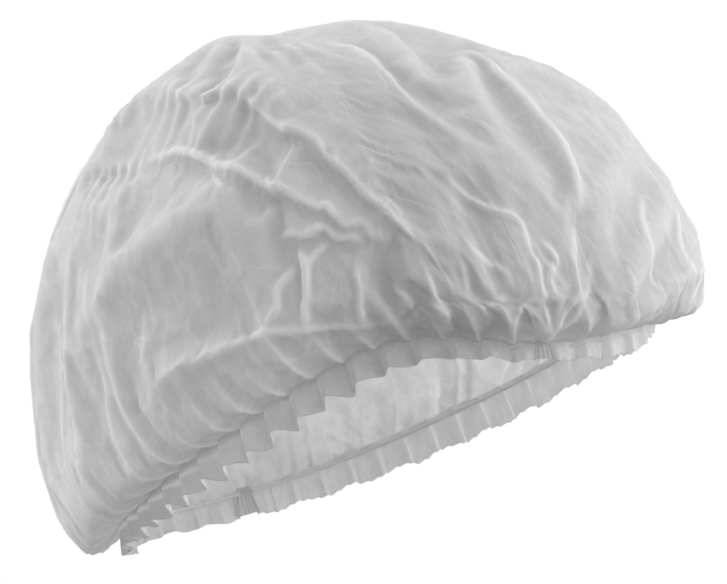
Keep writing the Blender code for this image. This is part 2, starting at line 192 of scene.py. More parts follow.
def outward(azimuth, rise):
    """Unit normal of the dome, from the cross product of two short steps along it."""
    step = 0.25
    side = crown_point(azimuth + step, rise) - crown_point(azimuth - step, rise)
    up = crown_point(azimuth, np.minimum(rise + 0.004, 1.0)) - crown_point(azimuth, rise - 0.004)
    normal = np.cross(side, up)
    length = np.linalg.norm(normal, axis=-1, keepdims=True)
    return np.where(length > 1e-12, normal / np.maximum(length, 1e-12), np.array([0.0, 0.0, 1.0]))


# %% [markdown]
# ## A grid without a pole
#
# Rings of columns would crowd at the top of a dome and pinch the shading. A square grid bent into a
# disc keeps its quads nearly even instead: ring i of the square holds 8 i points, so the rim gets
# many columns for its gathers and the top only one point.

# %% The square grid bent into a disc
HALF_GRID = 158
BELLY_SHARE = 0.79


def disc_grid(half):
    """Azimuth and radius of a square grid: the radius is the larger of the two steps from the middle,
    and the azimuth runs evenly along each side of that ring."""
    step = np.arange(-half, half + 1) / half
    u, v = np.meshgrid(step, step)
    radius = np.maximum(np.abs(u), np.abs(v))
    safe = np.where(radius > 0, radius, 1.0)
    flat = np.abs(u) >= np.abs(v)
    turn = np.where(flat, 45.0 * v / safe * np.sign(u) + np.where(u < 0, 180.0, 0.0),
                    90.0 * np.sign(v) - 45.0 * u / safe * np.sign(v))
    return turn, radius


def rise_of(radius):
    """Rise at a radius: 1 at the middle, 0 at the belly's share and -1 at the edge."""
    low = -(radius - BELLY_SHARE) / (1 - BELLY_SHARE)
    return np.where(radius > BELLY_SHARE, low, 1 - radius / BELLY_SHARE)


def grid_faces(rows, columns):
    """Quads between neighbouring rows and columns of an open grid."""
    index = np.arange(rows * columns).reshape(rows, columns)
    corners = (index[:-1, :-1], index[:-1, 1:], index[1:, 1:], index[1:, :-1])
    return np.stack(corners, -1).reshape(-1, 4).tolist()


def flipped(faces):
    """The same faces, looking the other way."""
    return [face[::-1] for face in faces]


CROWN_TURN, CROWN_RADIUS = disc_grid(HALF_GRID)
CROWN_RISE = rise_of(CROWN_RADIUS)
CROWN_GRID = CROWN_TURN.shape
print("crown grid:", CROWN_GRID)

# %% [markdown]
# ## Folds
#
# A fold follows a line through a few places on the dome. The big ones were read off the photograph:
# their pixels were turned into azimuths and rises. Where the cloth laps, the part above the
# line stands out over the part below it, which gives the lit lip and the shadow of a real pleat.
# The first table has the broad folds, which the cloth has before it settles. The second has narrow
# creases and lips, which are finer than the simulation can make, and are pressed in after it.

# %% Table of folds
Fold = namedtuple("Fold", "path width depth lap")
FOLD_WIDTH, FOLD_DEPTH = 0.0042, 0.0050
FOLD_SHARE = 0.65
WAVER, WAVER_SIZE = 0.0009, 0.009


def fold(width, depth, *places, lap=0.0):
    """A fold from shares of the width and depth, azimuth and rise in turn along it, and its lap."""
    return Fold(np.reshape(places, (-1, 2)), width, depth, lap)


FOLDS = (
    fold(0.7, 0.20, -116, 0.55, -90, 0.45, -77, 0.40, -66, 0.27, -58, 0.19, -49, 0.11, -42, 0.06, lap=1.0),
    fold(0.5, 0.12, -64, 0.13, -58, 0.13, -52, 0.10, -46, 0.08, lap=0.6),
    fold(0.7, 0.20, -86, 0.62, -74, 0.53, -63, 0.48, -55, 0.33, -46, 0.16, -40, 0.07, lap=1.0),
    fold(0.6, 0.15, -20, 0.80, -28, 0.64, -31, 0.42, -28, 0.32, -24, 0.20, -25, 0.00, -23, -0.7),
    fold(0.6, 0.25, 8, 0.60, -2, 0.45, -6, 0.28, -10, 0.16, -16, 0.05, -21, -0.7),
    fold(1.2, 0.35, 44, 0.20, 26, 0.16, 8, 0.08, -8, -0.05, -18, -0.6),
    fold(0.9, 0.3, 26, -0.04, 12, -0.10, 0, -0.30, -14, -0.75),
    fold(1.2, -0.7, -12, 0.16, -14, 0.00, -17, -0.35),
    fold(1.2, -0.5, -29, 0.24, -31, 0.08, -27, -0.30),
    fold(0.5, 0.12, -92, 0.00, -77, -0.13, -65, -0.24, -55, -0.42, -40, -0.66),
    fold(0.40, 0.20, -60, 0.12, -62, -0.02, -64, -0.30),
    fold(0.5, 0.12, -62, 0.06, -67, 0.01, -70, -0.14),
    fold(0.4, 0.15, -53, 0.06, -54, -0.12, -55, -0.45),
    fold(0.5, 0.25, -48, -0.05, -48, -0.30, -46, -0.75),
    fold(0.5, 0.25, -43, -0.05, -42, -0.35, -40, -0.80),
    fold(0.5, 0.25, -34, 0.12, -33, -0.10, -29, -0.50),
    fold(0.7, 0.08, -112, 0.36, -112, 0.20, -116, 0.04),
    fold(0.7, 0.10, -120, 0.28, -121, 0.12, -126, -0.10),
    fold(1.0, 0.15, -140, 0.24, -142, 0.05, -150, -0.40),
    fold(0.7, 0.28, -110, 0.74, -130, 0.62, -150, 0.46, -172, 0.22, -196, -0.10, lap=0.6),
    fold(0.8, 0.35, 90, 0.80, 150, 0.60, 168, 0.34, 160, 0.02, lap=0.7),
    fold(0.8, 0.35, 20, 0.50, 52, 0.42, 90, 0.40, 124, 0.26, 148, 0.02, lap=1.0),
    fold(0.8, 0.35, 36, 0.25, 60, 0.25, 84, 0.23, 108, 0.17, 132, 0.02, lap=1.0),
    fold(0.7, 0.3, 64, 0.14, 66, 0.00, 68, -0.40),
    fold(0.7, 0.3, 96, 0.12, 98, -0.04, 102, -0.40),
    fold(5.5, -1.3, -16, 0.62, 4, 0.60, 24, 0.58, 48, 0.56),
)
# Narrow creases and lips that are pressed into the settled cloth
LIPS = (
    fold(0.20, 0.38, -90, 0.45, -83, 0.43, -77, 0.40, -71, 0.33, -65.5, 0.27, -60.5, 0.22,
         -56, 0.17, -54.5, 0.17, -53, 0.13, -49.5, 0.13, -48.5, 0.10, -45.5, 0.09, lap=1.0),
    fold(0.19, 0.32, -64, 0.13, -61.5, 0.13, -59.5, 0.12, -56, 0.13, -55, 0.11, -52.5, 0.10,
         -49.5, 0.10, lap=1.0),
    fold(0.20, 0.36, -63, 0.48, -59.5, 0.41, -56.5, 0.35, -53, 0.32, -51, 0.26, -48, 0.19,
         -45.5, 0.15, -43.5, 0.11, -41.5, 0.08, lap=1.0),
    fold(0.22, 0.22, -24, 0.74, -28, 0.64, -31, 0.52, -31, 0.40, -30, 0.34),
    fold(0.22, 0.30, 2, 0.50, -2, 0.45, -5, 0.34, -6, 0.25, -10, 0.16, -13, 0.11),
    fold(0.19, 0.26, -84, -0.08, -77, -0.13, -70, -0.16, -64.5, -0.25, -60, -0.36, -55.5, -0.41,
         -49.5, -0.50, lap=0.3),
    fold(0.19, 0.45, -61, 0.10, -60.5, 0.06, -62, -0.02, -63.5, -0.24),
    fold(0.18, 0.30, -62, 0.07, -66.5, 0.02, -69.5, -0.13),
    fold(0.18, 0.30, -60.5, 0.06, -58.5, 0.08, -56, 0.10),
    fold(0.18, 0.28, -52.5, 0.05, -53.5, -0.01, -55, -0.40),
    fold(0.19, 0.42, -33, 0.22, -28, 0.16, -23.5, 0.13, -24, 0.08, -23.5, 0.04, -24.5, -0.11,
         -23.5, -0.71),
    fold(0.18, 0.42, -13, 0.11, -16, 0.06, -17, 0.02, -21, -0.31, -22.5, -0.78),
    fold(0.18, 0.40, -21, 0.10, -19.5, 0.06, -22, 0.02, -21, -0.08, -22.5, -0.41),
    fold(0.18, 0.32, -23.5, 0.04, -28, -0.16, -30.5, -0.78),
    fold(0.18, 0.25, -34, 0.09, -31.5, 0.07, -29, 0.05, -29, 0.01),
    fold(0.18, 0.28, -30.5, 0.01, -33.5, -0.15, -35.5, -0.32),
    fold(0.18, 0.22, -12, 0.06, -16, -0.04, -19, -0.35, -22, -0.75),
    fold(0.18, 0.22, -74, 0.36, -71.5, 0.29, -70, 0.25),
    fold(0.18, 0.20, -63, 0.28, -62, 0.22, -60, 0.19),
    fold(0.18, 0.26, -48, 0.02, -47, -0.12, -46, -0.36),
    fold(0.18, 0.26, -42, 0.04, -42, -0.14, -40, -0.50),
    fold(0.18, 0.22, -36, 0.06, -36, -0.10, -33, -0.50),
    fold(0.20, 0.12, -112, 0.38, -111, 0.26, -114, 0.10),
    fold(0.20, 0.15, -119, 0.26, -120, 0.14, -125, -0.04),
    fold(0.20, 0.12, -106, 0.30, -104, 0.18, -106, 0.02),
    fold(0.20, 0.12, -116, 0.06, -118, -0.16, -122, -0.45),
    fold(0.20, 0.30, 16, 0.10, 12, 0.02, 14, -0.10),
    fold(0.20, 0.30, 8, 0.14, 2, 0.08, 0, -0.02, 2, -0.2),
    fold(0.20, 0.30, 20, 0.02, 18, -0.10, 14, -0.4),
    fold(0.20, 0.30, 26, 0.00, 24, -0.15, 20, -0.5),
    fold(0.25, 0.35, -120, 0.70, -140, 0.55, -150, 0.46, -166, 0.30, -176, 0.14, lap=1.0),
    fold(0.23, 0.30, 140, 0.66, 156, 0.54, 166, 0.38, 164, 0.20, lap=0.6),
    fold(0.25, 0.35, 30, 0.47, 52, 0.42, 74, 0.42, 92, 0.39, 110, 0.32, 124, 0.25, lap=1.0),
    fold(0.23, 0.35, 46, 0.26, 66, 0.24, 84, 0.23, 100, 0.19, 118, 0.10, lap=1.0),
)
print(len(FOLDS), "folds and", len(LIPS), "lips")


# %% [markdown]
# The distance to a fold's line is measured in space, square to the line, for the points near it.

# %% Distance to a line on the dome
def smooth_path(path, stations=160):
    """Azimuths and rises of a Hermite curve through a fold's few places."""
    knots = np.array(path, float)
    slope = np.gradient(knots, axis=0)
    s = np.linspace(0.0, len(knots) - 1.0, stations)
    here = np.minimum(s.astype(int), len(knots) - 2)
    part = (s - here)[:, None]
    start = knots[here] * (1 + 2 * part) * (1 - part) ** 2 + slope[here] * part * (1 - part) ** 2
    end = knots[here + 1] * part ** 2 * (3 - 2 * part) - slope[here + 1] * part ** 2 * (1 - part)
    return (start + end).T


def near_path(points, path, within):
    """Indices of the points within a distance of a path's box, and for them the distance to the path,
    the length run along it, the share run, and the rise there."""
    azimuth, rise = smooth_path(path)
    line = crown_point(azimuth, rise)
    box = (points > line.min(0) - within).all(1) & (points < line.max(0) + within).all(1)
    inside = np.nonzero(box)[0]
    run = length_along(line)
    tangent = np.gradient(line, axis=0)
    tangent /= np.linalg.norm(tangent, axis=1, keepdims=True)
    square = ((points[inside][:, None, :] - line[None, :, :]) ** 2).sum(2)
    nearest = np.argmin(square, axis=1)
    reach = run[-1] / len(run)
    offset = points[inside] - line[nearest]
    ahead = np.clip((offset * tangent[nearest]).sum(1), -reach, reach)
    away = np.linalg.norm(offset - ahead[:, None] * tangent[nearest], axis=1)
    along = np.clip(run[nearest] + ahead, 0.0, run[-1])
    return inside, away, along, along / run[-1], rise[nearest]


def lattice_noise(points, size, seed):
    """Smooth noise from about -1 to 1: a random slope at each corner of a lattice of cells, and between
    the corners the heights of those slopes mixed by a fifth-degree step."""
    cell = np.asarray(points, float) / size
    cell = cell - np.floor(cell.min(0))
    low = np.floor(cell).astype(int)
    part = cell - low
    mix = part ** 3 * (part * (6 * part - 15) + 10)
    slopes = np.random.default_rng(seed).normal(size=(*(low.max(0) + 2), cell.shape[1]))
    slopes /= np.linalg.norm(slopes, axis=-1, keepdims=True)
    total = np.zeros(len(cell))
    for corner in np.ndindex(*(2,) * cell.shape[1]):
        weight = np.prod(np.where(corner, mix, 1 - mix), axis=1)
        total += weight * (slopes[tuple((low + corner).T)] * (part - corner)).sum(1)
    return total * 1.5


def shaken(points, size, amount, seeds):
    """The points moved about by noise, with one seed for each of their directions."""
    return points + amount * np.stack([lattice_noise(points, size, seed) for seed in seeds], -1)


def fold_relief(points, rises, folds):
    """Sum over the folds of a bell-shaped ridge, or of a step on its upper side where the cloth laps.
    Both taper to nothing at the ends of the path."""
    relief = np.zeros(len(points))
    for fold in folds:
        width = fold.width * FOLD_WIDTH
        inside, away, _, share, path_rise = near_path(points, fold.path, 6 * width + 0.006)
        taper = np.clip(6.0 * share * (1.0 - share), 0.0, 1.0)
        above = 0.5 + 0.5 * np.tanh(np.sign(rises[inside] - path_rise) * away / (0.5 * width))
        ridge = np.exp(-(away / width) ** 2)
        step = fold.lap * above * np.exp(-away / (3.0 * width))
        relief[inside] += fold.depth * FOLD_DEPTH * taper * np.maximum(ridge, step)
    return relief


LINE_REACH, FULL_DEPTH, LIP_SHADOW_AWAY, LIP_SHADOW_WIDTH = 0.008, 0.40, 0.0026, 0.0018


def painted_lip_lines(points, rises, folds, narrow=0.0010):
    """Pale lines of painted highlight along the doubled lips: 1 on each path, falling off like a bell
    beside it. Under the lip of a lapping fold runs a wider dark line of painted shadow, as a negative
    value."""
    line, under = np.zeros(len(points)), np.zeros(len(points))
    for fold in folds:
        inside, away, _, share, path_rise = near_path(points, fold.path, LINE_REACH)
        taper = np.clip(6.0 * share * (1.0 - share), 0.0, 1.0) * fold.depth / FULL_DEPTH
        line[inside] = np.maximum(line[inside], taper * np.exp(-(away / narrow) ** 2))
        dark = np.exp(-((away - LIP_SHADOW_AWAY) / LIP_SHADOW_WIDTH) ** 2) * (rises[inside] < path_rise)
        under[inside] = np.maximum(under[inside], fold.lap * taper * dark)
    return line - 0.5 * under


plain = crown_point(CROWN_TURN, CROWN_RISE).reshape(-1, 3)
normals = outward(CROWN_TURN, CROWN_RISE).reshape(-1, 3)
rises = CROWN_RISE.ravel()
folds = FOLD_SHARE * fold_relief(plain, rises, FOLDS)
waver = shaken(plain, WAVER_SIZE, WAVER, (31, 32, 33))
lips = FOLD_SHARE * fold_relief(waver, rises, LIPS)
# Painted highlights along the lips, and lines of painted shadow under them
lines = painted_lip_lines(waver, rises, LIPS)
print(f"folds stand {folds.max() * 1000:.1f} mm out and {-folds.min() * 1000:.1f} mm in, "
      f"lips {lips.max() * 1000:.1f} mm")

# %% [markdown]
# ## Bands of short gathers, and the gathers at the elastic
#
# Where a pleat is caught, its edge is drawn into short gathers that cross it. They start sharply at
# the upper side of the band and fade below it. At the elastic every ruffle sends a gather up into the
# crown. The gathers lean, differ in length, and are shallow at the thread itself.

# %% Bands and gathers
Band = namedtuple("Band", "path width depth pitch")
BAND_WIDTH, BAND_DEPTH, BAND_PITCH = 0.0085, 0.0016, 0.0060
TIP_LEVEL, TIP_REACH = 0.35, 0.45
BANDS = (
    Band(((-113, 0.48), (-100, 0.44), (-86, 0.43)), 1.2, 0.8, 1.00),
    Band(((-92, 0.60), (-84, 0.57), (-74, 0.53), (-64, 0.46), (-56, 0.38)), 1.6, 0.8, 1.15),
    Band(((-62, 0.56), (-46, 0.60), (-28, 0.64)), 1.5, 0.6, 1.05),
    Band(((60, 0.46), (80, 0.46), (100, 0.42)), 1.1, 0.75, 1.0),
    Band(((140, 0.62), (165, 0.58), (190, 0.52)), 1.1, 0.75, 1.0),
)
GATHER_DEPTH, GATHER_REACH, GATHER_LEAN = 0.0022, 0.026, 4.0
PLEAT_REACH = 0.030
GATHERED = table("azimuth share", (-170, 0.50), (-120, 0.48), (-85, 0.80), (-45, 1.00), (0, 1.00),
                 (60, 0.90), (130, 0.80))


def band_relief(points, rises):
    """Narrow crests across each band's path with wider hollows between them. They start sharply a little
    above the path and fade slowly below it. The second value is 1 on the crests' tips, which are painted
    paler there as highlights."""
    relief, tips = np.zeros(len(points)), np.zeros(len(points))
    for band in BANDS:
        width = band.width * BAND_WIDTH
        inside, away, run, share, path_rise = near_path(points, band.path, 2.5 * width)
        taper = np.clip(5.0 * share * (1.0 - share), 0.0, 1.0)
        count = run / (band.pitch * BAND_PITCH) + 0.10 * np.sin(run / 0.009)
        crest = np.exp(-9.0 * np.abs(count - np.round(count)) ** 1.3)
        long = 1 + 0.3 * np.sin(2.7 * np.round(count))
        level = np.sign(rises[inside] - path_rise) * away / width
        over, under = np.clip(level, 0, None), np.clip(-level, 0, None)
        edge = np.exp(-(over * 1.6) ** 4 - (under * 0.75 / long) ** 2)
        relief[inside] += band.depth * BAND_DEPTH * taper * edge * (crest - 0.35)
        tip = np.exp(-((level - TIP_LEVEL) / TIP_REACH) ** 2) + 0.45 * edge
        tips[inside] += band.depth * taper * tip * (crest - 0.30)
    return relief, tips


def gather_crests(azimuths, rises):
    """Ruffles counted along the rim, leaning as they rise, and the number of the nearest crest."""
    phase = ruffle_phase(azimuths + GATHER_LEAN * (rises + 1.0))
    return phase, np.round(phase)


def gather_relief(azimuths, rises, above_neck, sharp=5.0):
    """One narrow crest for each ruffle with a wide hollow beside it, leaning as it rises. It is
    shallow at the neck, and dies out over a reach that differs from crest to crest."""
    phase, crest = gather_crests(azimuths, rises)
    long = 1 + 0.35 * np.sin(2.3 * crest) + 0.2 * np.sin(5.1 * crest + 1.0)
    hollow = 1 - np.exp(-sharp * np.abs(phase - crest) ** 1.3)
    uneven = 1 - 0.20 * (1 - np.sin(1.7 * phase) - np.sin(0.61 * phase + 1.0))
    grow = np.interp(above_neck / GATHER_REACH, [0.0, 0.3], [0.12, 1.0])
    fade = np.exp(-(above_neck / (GATHER_REACH * long)) ** 2) * around(GATHERED, "share", azimuths)
    return GATHER_DEPTH * hollow * uneven * grow * fade


def painted_gather_lines(azimuths, rises, above_neck):
    """Thin lines on the crests of the gathers, fading as they rise. They are painted as pale highlights on
    the near side and as dark shade on the far side.
    """
    phase, crest = gather_crests(azimuths, rises)
    long = 1 + 0.45 * np.sin(2.3 * crest) + 0.25 * np.sin(5.1 * crest + 1.0)
    width = 0.075 + 0.02 * np.sin(1.3 * crest)
    fade = np.exp(-(above_neck / (PLEAT_REACH * long)) ** 2) * around(GATHERED, "share", azimuths)
    return np.exp(-((phase - crest) / width) ** 2) * fade


# %% [markdown]
# ## Slack in the cloth
#
# Nonwoven is stiff for its weight, so it buckles into long faint creases between the big folds. The
# buckles themselves come from a simulation further down. It needs a small uneven start, which is
# noise laid out on the flat cloth, and the flat cloth is also where the fibres are drawn later.

# %% The flat cloth and its uneven start
SHEET_REACH = 0.205
MEAN_RADIUS = 0.085
NET_WARP, NET_WARP_SIZE = 0.0032, 0.012
WIDE_DEPTH, WIDE_CELL = 0.00038, 0.019
NARROW_DEPTH, NARROW_CELL = 0.00050, 0.0095


def flat_place(azimuth, radius):
    """Place on the flat cloth: a disc whose radius is the length of cloth from the top."""
    turn = np.radians(azimuth)
    return np.stack([radius * np.cos(turn), radius * np.sin(turn)], -1) * SHEET_REACH


def uneven_relief(azimuth, radius):
    """Broad soft swells, and narrower ones that are drawn out towards the rim."""
    flat = flat_place(azimuth, radius).reshape(-1, 2)
    polar = np.stack([np.radians(azimuth.ravel()) * MEAN_RADIUS, radius.ravel() * SHEET_REACH], -1)
    swell = lattice_noise(flat, 0.034, 13)
    drawn = lattice_noise(polar, (0.010, 0.050), 11) * np.clip(radius.ravel() / 0.4, 0, 1)
    return 0.0010 * swell + 0.0003 * drawn


def crease_net(places, size, seed):
    """Straight creases where the cells around scattered points meet: 1 on an edge, and falling off by
    the difference between the distances to the nearest and the next nearest point."""
    cell = places / size
    low = np.floor(cell).astype(int)
    shift = low.min(0) - 1
    jitter = np.random.default_rng(seed).uniform(0.1, 0.9, (*(low.max(0) - shift + 3), 2))
    first = np.full(len(cell), 9.0)
    second = np.full(len(cell), 9.0)
    for step in np.ndindex(3, 3):
        near = low + np.array(step) - 1
        spot = near + jitter[tuple((near - shift).T)]
        away = np.linalg.norm(cell - spot, axis=1)
        second = np.minimum(second, np.maximum(first, away))
        first = np.minimum(first, away)
    return np.exp(-(second - first) * 12.0)


def crumple_relief(azimuth, radius):
    """Two nets of creases, a wide one and a narrower one drawn out towards the rim. Noise decides how
    much of each shows at a place."""
    flat = flat_place(azimuth, radius).reshape(-1, 2)
    polar = np.stack([np.radians(azimuth.ravel()) * MEAN_RADIUS, radius.ravel() * SHEET_REACH * 0.45], -1)
    shown = np.clip(0.5 + 1.4 * lattice_noise(flat, 0.030, 21), 0, 1)
    drawn = np.clip(0.5 + 1.6 * lattice_noise(flat, 0.026, 22), 0, 1)
    drawn *= np.clip(radius.ravel() * 2 - 0.5, 0, 1)
    warp = shaken(flat, NET_WARP_SIZE, NET_WARP, (23, 24)) - flat
    wide = WIDE_DEPTH * shown * crease_net(flat + warp, WIDE_CELL, 25)
    return wide + NARROW_DEPTH * drawn * crease_net(polar + warp, NARROW_CELL, 26)


# Spots of painted shade: the cloth's colour is darkened there, and less light passes, as through cloth
# doubled behind
ShadeSpot = namedtuple("ShadeSpot", "azimuth rise reach amount")
SHADE_SPOTS = tuple(ShadeSpot(*row) for row in (
    (-46, -0.45, 0.016, 1.0), (-36, -0.50, 0.013, 1.0), (-60, -0.60, 0.016, 0.35),
    (-15, -0.06, 0.011, 1.0), (-34, 0.20, 0.030, 0.95), (-45, 0.40, 0.034, 0.70),
    (-46, 0.02, 0.016, 0.35), (-85, -0.30, 0.024, 0.15), (-112, -0.35, 0.020, 0.25),
    (-27, -0.20, 0.010, 0.5), (-74, 0.16, 0.030, 0.20)))


def shade_spots_at(points):
    """0 on most cloth and up to 1 at a few soft spots of painted shade, where less light passes too: the
    sum of those spots.
    """
    away = [((points - crown_point(spot.azimuth, spot.rise)) ** 2).sum(1) for spot in SHADE_SPOTS]
    spots = [spot.amount * np.exp(-far / spot.reach ** 2) for spot, far in zip(SHADE_SPOTS, away)]
    return np.clip(np.sum(spots, axis=0), 0.0, 1.0)


above = ((1 - CROWN_RADIUS) * SHEET_REACH).ravel()
bands, tips = band_relief(plain, rises)
crumples = crumple_relief(CROWN_TURN, CROWN_RADIUS)
gathers = gather_relief(CROWN_TURN.ravel(), rises, above)
uneven = uneven_relief(CROWN_TURN, CROWN_RADIUS)
relief = (folds + uneven) * np.clip(above / GATHER_REACH, 0.0, 1.0) - gathers
print(f"bands {bands.max() * 1000:.1f} mm, gathers {gathers.max() * 1000:.1f} mm, "
      f"uneven {uneven.max() * 1000:.1f} mm, crumples {crumples.max() * 1000:.1f} mm")


# %% [markdown]
# ## From numbers to places
#
# Every piece is worked out level and then turned to the worn tilt, so that its object can stay at the
# origin, unturned.

# %% The worn tilt and the crown before it settles
THREAD_CLEAR, PUSH_REACH = 0.0012, 0.003


def worn(points):
    """Points turned about the Y axis, so that the front of the rim stands high."""
    t = math.radians(WORN_TILT)
    x, y, z = np.asarray(points, float).reshape(-1, 3).T
    return np.stack([x * math.cos(t) - z * math.sin(t), y, x * math.sin(t) + z * math.cos(t)], -1)


push = THREAD_CLEAR * np.exp(-above / PUSH_REACH)[:, None]
outwards = rim_point(CROWN_TURN, 1.0, 0.0) - rim_point(CROWN_TURN, 0.0, 0.0)
crown_start = worn(plain + normals * relief[:, None] + outwards.reshape(-1, 3) * push)
print("crown before it settles:", np.round(np.ptp(crown_start, axis=0) * 1000, 1).tolist(), "mm")

# %% [markdown]
# ## The frill
#
# Past the elastic the same cloth hangs on as a frill. Each gather becomes a box ruffle, whose flat
# face stands out and hangs lower than the fold between two faces. The ruffles overlap a little along
# the rim, as pressed ruffles do. Two strips are made, one on each side, as the threads are two.
# At the nape the cloth is bonded over the near thread once more, which shows as a raised pale line.

# %% The frill's cloth
RUFFLE_DEPTH, RUFFLE_NECK, SPRING, NECK_LAP = 0.0018, 0.0005, 0.20, 0.0010
HEM_STEP, TOOTH = 0.72, 0.0007
FRILL_COLUMNS, FRILL_ROWS = 24, 20


def rounded(values, soft):
    """One period of values after a circular bell-shaped blur, which rounds its corners."""
    turn = np.fft.rfftfreq(len(values)) * len(values)
    return np.fft.irfft(np.fft.rfft(values) * np.exp(-2 * (math.pi * soft * turn) ** 2), len(values))


ACROSS = np.linspace(0.0, 1.0, 400, endpoint=False)
FALL = (ACROSS - SPRING) / (1 - SPRING)
SAW_OUT = rounded(np.where(ACROSS < SPRING, ACROSS / SPRING, 1 - FALL) * 2 - 1, 0.045)
SAW_HEM = rounded(np.where(ACROSS < SPRING, 1 - ACROSS / SPRING, FALL) - 0.5, 0.065)
RIM_CLIMB = np.abs(np.gradient(worn(rim_point(RIM_TURNS, 0.0, 0.0))[:, 2], RIM_RUNS))


def neck_point(azimuth):
    """The crown's lower edge: the same gathers and the same push clear of the thread."""
    azimuth = np.asarray(azimuth, float)
    low = np.full(azimuth.shape, -1.0)
    gather = gather_relief(azimuth, low, np.zeros(azimuth.shape))
    side = rim_point(azimuth, 1.0, 0.0) - rim_point(azimuth, 0.0, 0.0)
    return crown_point(azimuth, low) - outward(azimuth, low) * gather[..., None] + side * THREAD_CLEAR


BEAD_DROP, BEAD_WIDTH, BEAD_HEIGHT = 0.0032, 0.0006, 0.0006


def bead_line(azimuth, share):
    """1 along the line where the near frill is bonded over its thread at the nape, falling off like a
    bell beside it. The second value is 1 along that stretch of the rim, from thread to hem."""
    stretch = np.exp(-((azimuth % 360 - 225) / 40) ** 4)
    return stretch * np.exp(-((share * FRILL_DEPTH - BEAD_DROP) / BEAD_WIDTH) ** 2), stretch


def frill_points(run, share):
    """Each ruffle is one face: it springs out over the first part of its width, and runs back in over
    the rest while its hem drops by as much as the rim climbs there, so that the hem stands level. The
    far strip is pressed flatter and its hem has finer teeth."""
    azimuth = azimuth_at(run)
    phase = ruffle_phase(azimuth)
    face = np.floor(phase)
    far = run > 0
    saw = np.interp(phase - face, ACROSS, SAW_OUT, period=1.0)
    climb = np.interp(azimuth, RIM_TURNS, RIM_CLIMB, period=360.0) * RUFFLE_PITCH * HEM_STEP
    step = climb * np.interp(phase - face, ACROSS, SAW_HEM, period=1.0) * np.where(far, 0.30, 1.0)
    teeth = np.interp(3 * phase + 0.2 * np.sin(face), ACROSS, SAW_HEM, period=1.0)
    step += np.where(far, TOOTH, 0.0) * teeth
    deep = (1 + 0.22 * np.sin(2.1 * face + 0.4)) * np.where(far, 0.85, 1.0)
    amount = RUFFLE_NECK + (RUFFLE_DEPTH - RUFFLE_NECK) * np.sin(share * math.pi / 2)
    out = THREAD_CLEAR + amount * saw * deep + share * around(FRILL, "lean", azimuth) * FRILL_DEPTH
    out += BEAD_HEIGHT * bead_line(azimuth, share)[0]
    hem = around(FRILL, "depth", azimuth) * FRILL_DEPTH * (1 + 0.07 * np.sin(3.7 * phase))
    drop = -THREAD / 2 + share * (hem + THREAD / 2 + step)
    places = rim_point(azimuth, out, drop)
    start = rim_point(azimuth, THREAD_CLEAR, -THREAD / 2)
    return places + (neck_point(azimuth) - start + [0.0, 0.0, NECK_LAP]) * ((1 - share) ** 4)[..., None]


def frill_grid(side):
    """Places along one thread, runs and shares, from one sealed end to the other."""
    steps, shares = np.meshgrid(np.linspace(0.0, 1.0, RUFFLES * FRILL_COLUMNS + 1),
                                np.linspace(0.0, 1.0, FRILL_ROWS + 1))
    tuck = 0.0020 + 0.0012 * shares
    return side * (tuck + steps * (GIRTH / 2 - 2 * tuck)), shares


frill_starts = {name: worn(frill_points(*frill_grid(side))) for name, side in (("right", -1), ("left", 1))}
print("frill grid:", frill_grid(1)[0].shape)

# %% [markdown]
# ## Letting the cloth settle
#
# A short Cloth simulation turns these shapes into cloth. The sheet is made a few hundredths larger
# than its start, held fast at the thread and loosely elsewhere, and so it has to buckle, as
# crumpled nonwoven does, while every large fold stays in its place. The work is done ten times as
# large as life, where the solver's units suit it, and on every other point of the crown's grid, which
# keeps it short. Only the settled places are kept.

# %% The simulation
Sheet = namedtuple("Sheet", "points faces hold grow bend")
CLOTH_FRAMES = 12


def settle(sheets, large=10.0):
    """Places of each sheet after its simulation. Hold is 1 where a point can't move and near 0 where
    it is only drawn back softly. Grow is the share by which the cloth is larger than its start."""
    trials = []
    for sheet in sheets:
        mesh = bpy.data.meshes.new("trial")
        mesh.from_pydata((sheet.points * large).tolist(), [], sheet.faces)
        trial = bpy.data.objects.new("trial", mesh)
        bpy.context.scene.collection.objects.link(trial)
        group = trial.vertex_groups.new(name="hold")
        levels = np.round(sheet.hold, 2)
        for level in np.unique(levels):
            group.add(np.nonzero(levels == level)[0].tolist(), float(level), "REPLACE")
        cloth = trial.modifiers.new("Settle", "CLOTH")
        rule = cloth.settings
        rule.mass, rule.quality = 0.02, 5
        rule.tension_stiffness = rule.compression_stiffness = 25.0
        rule.shear_stiffness, rule.bending_stiffness = 8.0, sheet.bend
        rule.vertex_group_mass, rule.shrink_min = "hold", -sheet.grow
        rule.effector_weights.gravity = 0.0
        cloth.collision_settings.use_collision = False
        cloth.point_cache.frame_start, cloth.point_cache.frame_end = 1, CLOTH_FRAMES
        trials.append(trial)
    for frame_number in range(1, CLOTH_FRAMES + 1):
        bpy.context.scene.frame_set(frame_number)
    graph = bpy.context.evaluated_depsgraph_get()
    settled = []
    for trial in trials:
        places = np.empty(len(trial.data.vertices) * 3)
        trial.evaluated_get(graph).data.vertices.foreach_get("co", places)
        settled.append(places.reshape(-1, 3) / large)
    for trial in trials:
        mesh = trial.data
        bpy.data.objects.remove(trial)
        bpy.data.meshes.remove(mesh)
    bpy.context.scene.frame_set(1)
    return settled


def every_other(values):
    """Every other row and column of the crown's grid."""
    grid = values.reshape(*CROWN_GRID, -1)
    return grid[::2, ::2].reshape(-1, grid.shape[-1])


def between(grid, axis):
    """A grid with a row added between each two: the four nearest rows, weighted -1, 9, 9 and -1."""
    grid = np.moveaxis(grid, axis, 0)
    wide = np.concatenate([2 * grid[:1] - grid[1:2], grid, 2 * grid[-1:] - grid[-2:-1]])
    made = np.empty((2 * len(grid) - 1, *grid.shape[1:]))
    made[::2] = grid
    made[1::2] = (9 * (wide[1:-2] + wide[2:-1]) - wide[:-3] - wide[3:]) / 16
    return np.moveaxis(made, 0, axis)


